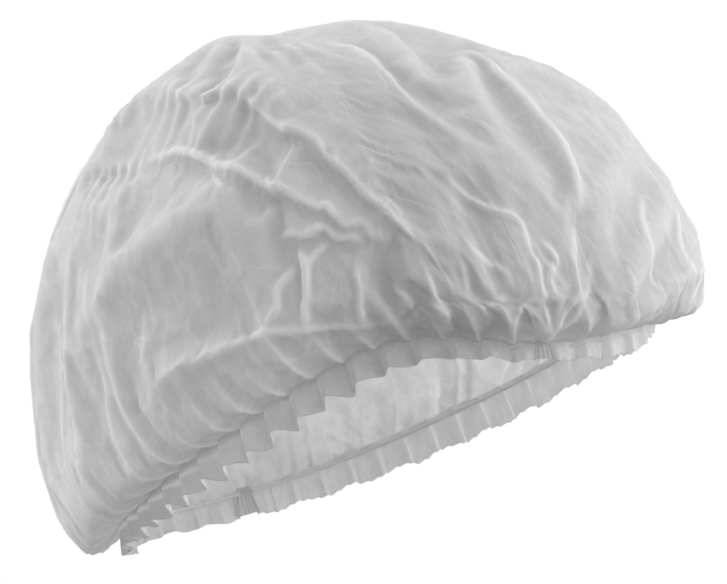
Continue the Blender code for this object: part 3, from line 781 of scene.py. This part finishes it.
half_grid = tuple((n + 1) // 2 for n in CROWN_GRID)
crown_faces = flipped(grid_faces(*CROWN_GRID))
half_above = every_other(above)[:, 0]
crown_hold = np.where(half_above < 1e-6, 1.0, 0.05 + 0.95 * np.exp(-half_above / PUSH_REACH))
frill_faces = {"right": grid_faces(FRILL_ROWS + 1, RUFFLES * FRILL_COLUMNS + 1)}
frill_faces["left"] = flipped(frill_faces["right"])
frill_hold = np.where(frill_grid(1)[1].ravel() < 1e-6, 1.0, 0.12)
half_faces = flipped(grid_faces(*half_grid))
sheets = [Sheet(every_other(crown_start), half_faces, crown_hold, grow=0.04, bend=1.5)]
sheets += [Sheet(frill_starts[name], frill_faces[name], frill_hold, grow=0.03, bend=2.0)
           for name in ("right", "left")]
settled = settle(sheets)
for sheet, places in zip(sheets, settled):
    moved = np.linalg.norm(places - sheet.points, axis=1) * 1000
    print(f"settled: mean {moved.mean():.1f} mm, most {moved.max():.1f} mm")


# %% [markdown]
# ## From places to meshes
#
# Each mesh gets a map of the flat cloth, in metres, and a value that tells crests from hollows, which
# the cloth's finish reads. Creases that are finer than the simulation can make are added here, square
# to the settled cloth.

# %% Helpers that make a piece
def make_mesh(name, points, faces, flat=None, **values):
    """Mesh piece from arrays: places, quads or triangles, a map of the flat cloth, and named values of
    each point such as its crest."""
    mesh = bpy.data.meshes.new(name)
    mesh.from_pydata(np.asarray(points).tolist(), [], faces)
    mesh.validate()
    mesh.shade_smooth()
    if flat is not None:
        corner = np.empty(len(mesh.loops), np.int32)
        mesh.loops.foreach_get("vertex_index", corner)
        layer = mesh.uv_layers.new(name="flat_cloth")
        layer.data.foreach_set("uv", np.asarray(flat, np.float32).reshape(-1, 2)[corner].ravel())
    for title, value in values.items():
        layer = mesh.attributes.new(title, "FLOAT", "POINT")
        layer.data.foreach_set("value", np.asarray(value, np.float32).ravel())
    piece = bpy.data.objects.new(name, mesh)
    bpy.context.scene.collection.objects.link(piece)
    return piece


def give_wall(piece, wall):
    """Thickness for a sheet, half on each side of the surface that was worked out."""
    solid = piece.modifiers.new("Wall", "SOLIDIFY")
    solid.thickness = wall
    solid.offset = 0.0
    solid.use_even_offset = False
    return piece


def surface_normals(points, shape, flip):
    """Unit normals of a grid of places, from the cross product of its two directions."""
    grid = points.reshape(*shape, 3)
    normal = np.cross(np.gradient(grid, axis=1), np.gradient(grid, axis=0)) * (-1 if flip else 1)
    normal /= np.maximum(np.linalg.norm(normal, axis=2, keepdims=True), 1e-12)
    return normal.reshape(-1, 3)


def blurred(values, times):
    """Values of a grid after passes of a small blur along both of its directions."""
    for _ in range(times):
        for axis in (0, 1):
            pad = [(1, 1) if a == axis else (0, 0) for a in range(values.ndim)]
            wide = np.pad(values, pad, mode="edge")
            after, before = np.roll(wide, -1, axis), np.roll(wide, 1, axis)
            mean = (after + 2 * wide + before) / 4
            values = mean[1:-1, :] if axis == 0 else mean[:, 1:-1]
    return values


def crest_of(points, normal, shape, scale, near=1, far=12):
    """0 in hollows, 0.5 on even cloth and 1 on crests: how far the cloth after a small blur stands out
    of the same cloth after a wide blur, square to it and beside a scale."""
    grid = points.reshape(*shape, 3)
    stand = ((blurred(grid, near) - blurred(grid, far)).reshape(-1, 3) * normal).sum(1)
    return 0.5 + 0.5 * np.tanh(stand / scale), stand


# %% [markdown]
# The simulation may only buckle the crown and not swell it, so the broad part of its shift is taken
# off again. Where narrow creases made the cloth fold over itself, it is relaxed at those places.

# %% The crown's cloth
SWELL_PASSES, CALM_PASSES, SPOT_PASSES = 40, 8, 6
NECK_FADE, EDGE_FADE = 0.006, 0.002
SHARP_SHARE = 0.45
CREST_SCALE = 0.0006

shift = (settled[0] - sheets[0].points).reshape(*half_grid, 3)
swell = blurred(shift, SWELL_PASSES)
swell *= 1 - np.exp(-half_above.reshape(*half_grid, 1) / NECK_FADE)
crown_places = crown_start + between(between(shift - swell, 0), 1).reshape(-1, 3)
crown_normals = surface_normals(crown_places, CROWN_GRID, flip=False)
outside = ((crown_normals * (crown_places - crown_places.mean(0))).sum(1) > 0).mean()
sharp_gathers = gather_relief(CROWN_TURN.ravel(), rises, above, sharp=14.0)
clear = np.clip(above / GATHER_REACH, 0.0, 1.0)
edge_fade = 1 - np.exp(-above / EDGE_FADE)
fine = (bands + lips + crumples) * clear - SHARP_SHARE * sharp_gathers * edge_fade
crown_places = crown_places + crown_normals * fine[:, None]
plain_normals = worn(normals)
for _ in range(3):
    facing_out = (surface_normals(crown_places, CROWN_GRID, flip=False) * plain_normals).sum(1)
    tangled = (facing_out < 0.3).reshape(CROWN_GRID)
    spot = np.clip(blurred(tangled.astype(float), SPOT_PASSES) * 10, 0, 1)[..., None]
    spot *= edge_fade.reshape(*CROWN_GRID, 1)
    grid = crown_places.reshape(*CROWN_GRID, 3)
    crown_places = (grid + (blurred(grid, CALM_PASSES) - grid) * spot).reshape(-1, 3)
    print(tangled.sum(), "points relaxed where the cloth had folded over itself")
crown_normals = surface_normals(crown_places, CROWN_GRID, flip=False)

# %% [markdown]
# Two values of each point steer the finish. Crest is 0 in dark hollows, a painted shade, and 1 on the pale
# doubled lips and crests, a painted highlight. The second value is 1 at spots of painted shade, where the
# colour is darkened and less light passes. Gathers are painted as pale highlight lines on the near side,
# and as dark lines of painted shade on the far side.

# %% The crown's crests and linings
BASE_CREST, HOLLOW_SHARE = 0.20, 0.45
LINE_SHARE, TIP_SHARE, THREAD_SHARE, PLEAT_SHARE, CRUMPLE_SHARE = 1.30, 0.80, 0.3, 0.85, 180
NEAR_TURN = 75

# Painted shade and highlight: the crest value darkens hollows and lightens crests
crest, stand = crest_of(crown_places, crown_normals, CROWN_GRID, CREST_SCALE)
thread_line = np.exp(-((above - 0.0004) / 0.0008) ** 2)
pleats = painted_gather_lines(CROWN_TURN.ravel(), rises, above)
facing = 0.5 - 0.5 * np.tanh(3 * np.cos(np.radians(CROWN_TURN.ravel() - NEAR_TURN)))
# Painted highlights on lips, band tips, crumple creases and the near gathers, a pale line along the
# thread, and painted shade in hollows and under lips
crest = BASE_CREST + HOLLOW_SHARE * (crest - 0.4) + LINE_SHARE * lines + TIP_SHARE * tips * clear
crest += THREAD_SHARE * thread_line + PLEAT_SHARE * facing * pleats + CRUMPLE_SHARE * crumples * clear
# Painted shade: dark spots, and dark gather lines on the far side
lining = np.maximum(shade_spots_at(plain), (1 - facing) * pleats)
crown = make_mesh("crown_cloth", crown_places, crown_faces, flat_place(CROWN_TURN, CROWN_RADIUS),
                  crest=np.clip(crest, 0, 1.2), lining=lining)
print(f"crown: {len(crown.data.vertices)} points, {outside:.2f} of its normals look out, "
      f"crests {np.round(np.percentile(stand, [5, 50, 95]) * 1000, 2).tolist()} mm")

# %% The frills' cloth
SHADED_TURN, SHADED_WIDTH = 312, 20
frills = {}
for name, side, places in (("right", -1, settled[1]), ("left", 1, settled[2])):
    runs, shares = frill_grid(side)
    flat = np.stack([runs * 1.6, -SHEET_REACH - shares * FRILL_DEPTH], -1)
    across = ruffle_phase(azimuth_at(runs)) % 1.0
    # Painted highlight on each ruffle's spring-out edge; the near strip is painted darker than the far one
    # as shade, and the colour darkens towards the hem
    spring_highlight = np.exp(-((across - 0.5 * SPRING) / 0.08) ** 2)
    crest = (0.72 if name == "right" else 0.80) + 0.60 * spring_highlight - 0.12 * shares
    bead, stretch = bead_line(azimuth_at(runs), shares)
    crest += 0.9 * bead - 0.25 * stretch
    # Painted shade on the near strip below the overhanging belly
    shaded = np.exp(-((azimuth_at(runs) % 360 - SHADED_TURN) / SHADED_WIDTH) ** 2)
    lining = (0.5 if name == "right" else 0.0) * shaded
    frills[name] = make_mesh("frill_cloth_" + name, places, frill_faces[name], flat,
                             crest=crest, lining=lining)
    give_wall(frills[name], CLOTH)
    print(frills[name].name, len(places), "points")


# %% [markdown]
# ## Elastic threads
#
# Each thread is a round rubber strand that runs from one sealed end to the other inside the turn of
# the cloth. It is a circle carried along the rim's line, with a slight waist at every ruffle, where
# the cloth is bonded to it.

# %% The two threads
def tube(centres, radii, sides=10):
    """Circle carried along a line: at each station it stands square to the line. The two ends close in
    a point. Rows are stations, columns go round."""
    tangent = np.gradient(centres, axis=0)
    tangent /= np.linalg.norm(tangent, axis=1, keepdims=True)
    side = np.cross(tangent, [0.0, 0.0, 1.0])
    side /= np.linalg.norm(side, axis=1, keepdims=True)
    up = np.cross(side, tangent)
    turn = np.linspace(0, 2 * math.pi, sides, endpoint=False)
    ring = side[:, None] * np.cos(turn)[None, :, None] + up[:, None] * np.sin(turn)[None, :, None]
    points = (centres[:, None] + ring * radii[:, None, None]).reshape(-1, 3)
    index = np.arange(len(points)).reshape(-1, sides)
    beside = np.roll(index, -1, axis=1)
    quads = np.stack((index[:-1], beside[:-1], beside[1:], index[1:]), -1).reshape(-1, 4).tolist()
    first, last = len(points), len(points) + 1
    caps = [(first, b, a) for a, b in zip(index[0], beside[0])]
    caps += [(last, a, b) for a, b in zip(index[-1], beside[-1])]
    return np.vstack([points, centres[0], centres[-1]]), quads + [tuple(map(int, c)) for c in caps]


threads = {}
for name, side in (("right", -1), ("left", 1)):
    run = side * np.linspace(0.0025, GIRTH / 2 - 0.0025, 700)
    azimuth = azimuth_at(run)
    beat = np.cos(2 * math.pi * ruffle_phase(azimuth))
    centres = rim_point(azimuth, 0.00012 * beat, 0.0)
    points, faces = tube(centres, 0.00062 + 0.00008 * beat)
    threads[name] = make_mesh("elastic_thread_" + name, worn(points), flipped(faces))
    print(threads[name].name, len(points), "points")

# %% [markdown]
# ## Sealed ends
#
# At the front and the back all pleats are pressed into one small ribbed fan. It is a strip that widens
# from the thread to the hem, with ribs that run down it.

# %% The two sealed ends
SEAL_TOP, SEAL_WALL = 0.0025, 0.0007


def fan_points(run, across, share):
    """Strip from above the thread down to the hem. Its half width grows with the drop, and its ribs are
    a cosine across it that is flat at both edges."""
    foot = around(FRILL, "depth", azimuth_at(run)) * FRILL_DEPTH
    drop = -SEAL_TOP + share * (0.9 * foot + SEAL_TOP)
    half = 0.0022 + 0.0018 * share
    azimuth = azimuth_at(run + across * half)
    rib = 0.0003 * np.cos(5 * math.pi * across) * (1 - across ** 4) * (0.4 + 0.6 * share)
    lean = np.clip(share, 0, 1) * around(FRILL, "lean", azimuth) * FRILL_DEPTH
    return rim_point(azimuth, THREAD_CLEAR + 0.0008 - 0.0010 * across ** 2 + rib + lean, drop)


seals = {}
for name, run in (("front", 0.0), ("back", GIRTH / 2)):
    across, share = np.meshgrid(np.linspace(-1, 1, 61), np.linspace(0, 1, 31))
    points = fan_points(run, across, share)
    flat = np.stack([across * 0.006, share * 0.012], -1)
    # Painted highlight and shade: paler on the ribs' crests and darker between them
    crest = 0.45 + 0.25 * np.cos(5 * math.pi * across)
    faces = flipped(grid_faces(*across.shape))
    seals[name] = make_mesh("sealed_end_" + name, worn(points), faces, flat, crest=crest)
    give_wall(seals[name], SEAL_WALL)
    print(seals[name].name, len(points), "points")


# %% [markdown]
# ## Finish of the cloth
#
# Spunbond nonwoven is a web of fine white fibres, patchy in thickness, faintly creased, and pressed with a
# fine grid of bond points. It passes a good part of the light, so the far wall glows. Its creases and
# crests are painted paler as highlights, and its hollows darker as shade. The web is a node group, because
# cloth and sealed ends share it. Two helpers keep the node trees short.

# %% Helpers for node trees
def add_node(tree, kind, inputs=(), **settings):
    """New shader node with its settings. Each input is given by name or number, as a plain value or as
    the socket that feeds it."""
    node = tree.nodes.new("ShaderNode" + kind)
    for name, value in settings.items():
        setattr(node, name, value)
    for name, value in dict(inputs).items():
        if isinstance(value, bpy.types.NodeSocket):
            tree.links.new(value, node.inputs[name])
        else:
            node.inputs[name].default_value = value
    return node


def math_node(tree, operation, *values, clamp=False):
    """Output of a Math node with values or sockets as its inputs."""
    return add_node(tree, "Math", enumerate(values), operation=operation, use_clamp=clamp).outputs[0]


def noise_node(tree, vector, scale, detail, rough=0.55):
    """Noise in space, from 0 to 1."""
    inputs = {"Vector": vector, "Scale": scale, "Detail": detail, "Roughness": rough}
    return add_node(tree, "TexNoise", inputs).outputs["Fac"]


def grey(level):
    """Opaque grey of one level."""
    return (level, level, level, 1.0)


# %% A node group for the fibre web
def fibre_web():
    """Group: from a place on the flat cloth it gives the web's tone, patchy from 0 to 1 and paler on
    creases as a painted highlight, and a height with fibres, pressed bond points and creases."""
    group = bpy.data.node_groups.new("fibre_web", "ShaderNodeTree")
    for name, way, kind in (("Place", "INPUT", "Vector"), ("Bonds", "INPUT", "Float"),
                            ("Tone", "OUTPUT", "Float"), ("Height", "OUTPUT", "Float")):
        group.interface.new_socket(name, in_out=way, socket_type="NodeSocket" + kind)
    source, result = group.nodes.new("NodeGroupInput"), group.nodes.new("NodeGroupOutput")
    place = source.outputs["Place"]

    def maths(operation, *values, clamp=False):
        return math_node(group, operation, *values, clamp=clamp)

    clouds = noise_node(group, place, 120.0, 3.0, 0.6)
    flecks = noise_node(group, place, 700.0, 4.0, 0.7)
    tone = maths("ADD", maths("MULTIPLY", clouds, 0.55), maths("MULTIPLY", flecks, 0.45))
    bonds = add_node(group, "TexVoronoi", {"Vector": place, "Scale": 850.0, "Randomness": 0.12})
    pit = maths("SUBTRACT", 1.0, maths("MULTIPLY", bonds.outputs["Distance"], 2.4), clamp=True)
    pits = maths("MULTIPLY", pit, source.outputs["Bonds"])
    wander = add_node(group, "TexNoise", {"Vector": place, "Scale": 160.0}).outputs["Color"]
    shake = add_node(group, "VectorMath", {0: wander}, operation="SCALE")
    shake.inputs["Scale"].default_value = 0.004
    moved = add_node(group, "VectorMath", {0: place, 1: shake.outputs["Vector"]}).outputs["Vector"]
    crease = add_node(group, "TexVoronoi", {"Vector": moved, "Scale": 62.0}, feature="DISTANCE_TO_EDGE")
    edge = maths("SUBTRACT", 1.0, maths("MULTIPLY", crease.outputs["Distance"], 22.0), clamp=True)
    where = maths("SUBTRACT", noise_node(group, place, 38.0, 2.0), 0.44)
    creases = maths("MULTIPLY", edge, maths("MULTIPLY", where, 5.0, clamp=True))
    height = maths("ADD", maths("SUBTRACT", flecks, pits), maths("MULTIPLY", creases, 1.5))
    # The creases are painted paler in the tone, a painted highlight
    group.links.new(maths("ADD", tone, maths("MULTIPLY", creases, 0.20)), result.inputs["Tone"])
    group.links.new(height, result.inputs["Height"])
    return group


FIBRE_WEB = fibre_web()
print("fibre_web:", len(FIBRE_WEB.nodes), "nodes")


# %% [markdown]
# The cloth's material mixes a Principled shader with a Translucent one. The value crest chooses its tone
# between a dark and a light one, as painted shade in hollows and painted highlight on crests. The second
# value darkens it as painted shade and lets less light through.

# %% Cloth, thread and sealed film
BUMP_DISTANCE = 0.0002
MOTTLE = 1.1
SPOT_PASS_LOSS, PAINTED_SHADE_SHARE, PAINTED_SHADE_TONE = 0.75, 0.4, 0.38


def new_material(name, **values):
    """A material, its tree and its Principled shader, whose inputs get the values. An underscore in a
    value's name stands for a space."""
    material = bpy.data.materials.new(name)
    material.use_nodes = True
    shader = material.node_tree.nodes["Principled BSDF"]
    for title, value in values.items():
        shader.inputs[title.replace("_", " ")].default_value = value
    return material, material.node_tree, shader


def tone_between(tree, factor, dark, light):
    """Colour mixed from two colours or sockets by a factor."""
    inputs = {"Factor": factor, "A": dark, "B": light}
    return add_node(tree, "Mix", inputs, data_type="RGBA").outputs["Result"]


def bump_normal(tree, strength, height):
    """Normal that is bent by a height."""
    inputs = {"Strength": strength, "Distance": BUMP_DISTANCE, "Height": height}
    return add_node(tree, "Bump", inputs).outputs["Normal"]


def cloth_material(name, dark, light, pass_share, bonds, bump):
    """Principled cloth mixed with a Translucent shader of the same colour. The colour runs from dark in
    hollows to light on crests, as painted shade and painted highlight, is mottled by the web, and is
    darker at the spots of painted shade, where less light passes too."""
    material, tree, shader = new_material(name, Roughness=0.82, Specular_IOR_Level=0.25,
                                          Sheen_Weight=0.20, Sheen_Roughness=0.5)
    uv = add_node(tree, "UVMap", uv_map="flat_cloth").outputs["UV"]
    web = add_node(tree, "Group", {"Place": uv, "Bonds": bonds}, node_tree=FIBRE_WEB)
    crest = add_node(tree, "Attribute", attribute_name="crest").outputs["Fac"]
    lining = add_node(tree, "Attribute", attribute_name="lining").outputs["Fac"]
    mottled = math_node(tree, "MULTIPLY", math_node(tree, "SUBTRACT", web.outputs["Tone"], 0.5), MOTTLE)
    # Painted shade in hollows and painted highlight on crests: the crest value picks the tone
    share = math_node(tree, "ADD", crest, mottled, clamp=True)
    colour = tone_between(tree, share, grey(dark), grey(light))
    # Painted shade: the colour is darkened towards a dark grey at the shade spots
    shaded = math_node(tree, "MULTIPLY", lining, PAINTED_SHADE_SHARE)
    colour = tone_between(tree, shaded, colour, grey(PAINTED_SHADE_TONE * dark))
    normal = bump_normal(tree, bump, web.outputs["Height"])
    through = add_node(tree, "BsdfTranslucent", {"Color": colour, "Normal": normal})
    tree.links.new(colour, shader.inputs["Base Color"])
    tree.links.new(normal, shader.inputs["Normal"])
    passed = math_node(tree, "SUBTRACT", 1.0, math_node(tree, "MULTIPLY", lining, SPOT_PASS_LOSS))
    inputs = {"Fac": math_node(tree, "MULTIPLY", passed, pass_share),
              1: shader.outputs["BSDF"], 2: through.outputs["BSDF"]}
    mix = add_node(tree, "MixShader", inputs).outputs["Shader"]
    tree.links.new(mix, tree.nodes["Material Output"].inputs["Surface"])
    return material


def thread_material():
    """Milky rubber: a plain soft gloss, with fine rings from its winding in the bump."""
    material, tree, shader = new_material("thread_rubber", Roughness=0.5)
    place = add_node(tree, "TexCoord").outputs["Object"]
    fine = noise_node(tree, place, 900.0, 3.0)
    colour = tone_between(tree, fine, (0.64, 0.64, 0.63, 1.0), (0.72, 0.72, 0.71, 1.0))
    tree.links.new(colour, shader.inputs["Base Color"])
    tree.links.new(bump_normal(tree, 0.4, fine), shader.inputs["Normal"])
    return material


CLOTH_FINISH = cloth_material("nonwoven_cloth", 0.66, 0.97, pass_share=0.44, bonds=0.35, bump=0.35)
SEAL_FINISH = cloth_material("sealed_cloth", 0.72, 0.94, pass_share=0.45, bonds=0.6, bump=0.4)
THREAD_FINISH = thread_material()
for pieces, finish in (((crown, *frills.values()), CLOTH_FINISH), (seals.values(), SEAL_FINISH),
                       (threads.values(), THREAD_FINISH)):
    for piece in pieces:
        piece.data.materials.append(finish)
print("finishes:", [m.name for m in (CLOTH_FINISH, SEAL_FINISH, THREAD_FINISH)])

# %% [markdown]
# ## Which CAD nodes the pieces stand for
#
# The CAD nodes keep the collision shapes. Each dressed piece names the node that it replaces and the
# slot of its finish, and cloth is declared with the size that it was cut to.

# %% Ride and replace
for name in ("right", "left"):
    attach(frills[name], "root")
    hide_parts("frill_" + name)
    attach(threads[name], "root")
    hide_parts("elastic_" + name)
for name in ("front", "back"):
    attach(seals[name], "root")
    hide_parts("weld_" + name)
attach(crown, "root")
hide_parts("crown")

# %% [markdown]
# ## Floor, light and camera
#
# The floor is plain and pale, well below the cap, and is made white to the camera's own rays so that
# it shows no edge. The light is a pale dome that is brighter above and on the far side, where it makes
# the inside of the cap glow. Three large soft lamps help it.

# %% The floor
FLOOR_DROP, FLOOR_REACH, FLOOR_CORNERS = 0.32, 6.0, 64


def white_to_camera(tree, lit, white):
    """The lit shader for the light, and the white one for the camera's own rays."""
    seen = add_node(tree, "LightPath").outputs["Is Camera Ray"]
    return add_node(tree, "MixShader", {"Fac": seen, 1: lit, 2: white}).outputs["Shader"]


ring = np.linspace(0, 2 * math.pi, FLOOR_CORNERS, endpoint=False)
corners = np.stack([FLOOR_REACH * np.cos(ring), FLOOR_REACH * np.sin(ring), 0 * ring - FLOOR_DROP], -1)
floor_mesh = bpy.data.meshes.new("floor")
floor_mesh.from_pydata(corners.tolist(), [], [list(range(FLOOR_CORNERS))])
floor = bpy.data.objects.new("floor", floor_mesh)
bpy.context.scene.collection.objects.link(floor)
pale, tree, shader = new_material("pale_floor", Base_Color=grey(0.34), Roughness=0.9)
glow = add_node(tree, "Emission", {"Color": grey(1.0), "Strength": 1.0}).outputs[0]
shown = white_to_camera(tree, shader.outputs["BSDF"], glow)
tree.links.new(shown, tree.nodes["Material Output"].inputs["Surface"])
floor_mesh.materials.append(pale)
print("floor at", -FLOOR_DROP)

# %% The light dome
SKY_LEVEL, SKY_CHANGE = 0.71, 0.62

world = bpy.data.worlds.new("studio")
world.use_nodes = True
tree = world.node_tree
tree.nodes.clear()
aim = np.array([0.15, 0.50, 0.85])
aim /= np.linalg.norm(aim)
direction = add_node(tree, "TexCoord").outputs["Generated"]
toward = add_node(tree, "VectorMath", {0: direction, 1: aim}, operation="DOT_PRODUCT").outputs["Value"]
level = math_node(tree, "MULTIPLY_ADD", toward, SKY_CHANGE, SKY_LEVEL)
soft = add_node(tree, "Background", {"Strength": level}).outputs[0]
white = add_node(tree, "Background", {"Color": grey(1.0)}).outputs[0]
add_node(tree, "OutputWorld", {"Surface": white_to_camera(tree, soft, white)})
bpy.context.scene.world = world
print("dome: brightest toward", np.round(aim, 2).tolist())


# %% Three soft lamps
def put(thing, right, up, back, place):
    """Gives an object its three axes and its place, which are the columns of its matrix."""
    matrix = np.eye(4)
    matrix[:3] = np.stack([right, up, back, place], axis=1)
    thing.matrix_world = matrix.T.tolist()
    bpy.context.scene.collection.objects.link(thing)


def soft_lamp(name, place, size, power):
    """Square area lamp that points at the cap."""
    light = bpy.data.lights.new(name, "AREA")
    light.shape, light.size, light.energy = "SQUARE", size, power
    back = np.array(place, float)
    back /= np.linalg.norm(back)
    right = np.cross([0, 0, 1.0], back)
    right /= np.linalg.norm(right)
    put(bpy.data.objects.new(name, light), right, np.cross(back, right), back, place)


soft_lamp("key", (1.3, 0.7, 0.6), 0.9, 11.0)
soft_lamp("rim", (-1.1, -0.35, 0.4), 0.8, 11.0)
soft_lamp("back", (0.2, 1.3, -0.10), 0.8, 8.0)
bpy.context.scene.view_settings.view_transform = "Standard"

# %% [markdown]
# The camera stands as in the photograph. Its angle, distance and lens were fitted to the rim's outline
# there. The frame's middle and the cap's are apart by a few pixels, which moves the camera sideways
# and up by as much.

# %% The camera of the photograph
AZIMUTH, ELEVATION, DISTANCE, LENS_PIXELS = 40.0, 6.0, 1.10, 3300.6
FRAME_WIDTH, FRAME_MIDDLE, CAP_MIDDLE = 727, (363.5, 292.0), (381.34, 415.0)
SENSOR = 36.0

turn, climb = math.radians(AZIMUTH), math.radians(ELEVATION)
back = np.array([math.sin(turn) * math.cos(climb), -math.cos(turn) * math.cos(climb), math.sin(climb)])
right = np.array([math.cos(turn), math.sin(turn), 0.0])
up = np.cross(back, right)
aside, above_middle = [(cap - middle) / LENS_PIXELS * DISTANCE
                       for cap, middle in zip(CAP_MIDDLE, FRAME_MIDDLE)]
place = back * DISTANCE - right * aside + up * above_middle
camera = bpy.data.objects.new("camera", bpy.data.cameras.new("camera"))
camera.data.sensor_width = SENSOR
camera.data.lens = LENS_PIXELS / FRAME_WIDTH * SENSOR
camera.data.clip_start = 0.05
put(camera, right, up, back, place)
bpy.context.scene.camera = camera
print("camera at", np.round(place, 3).tolist(), "lens", round(camera.data.lens, 1))
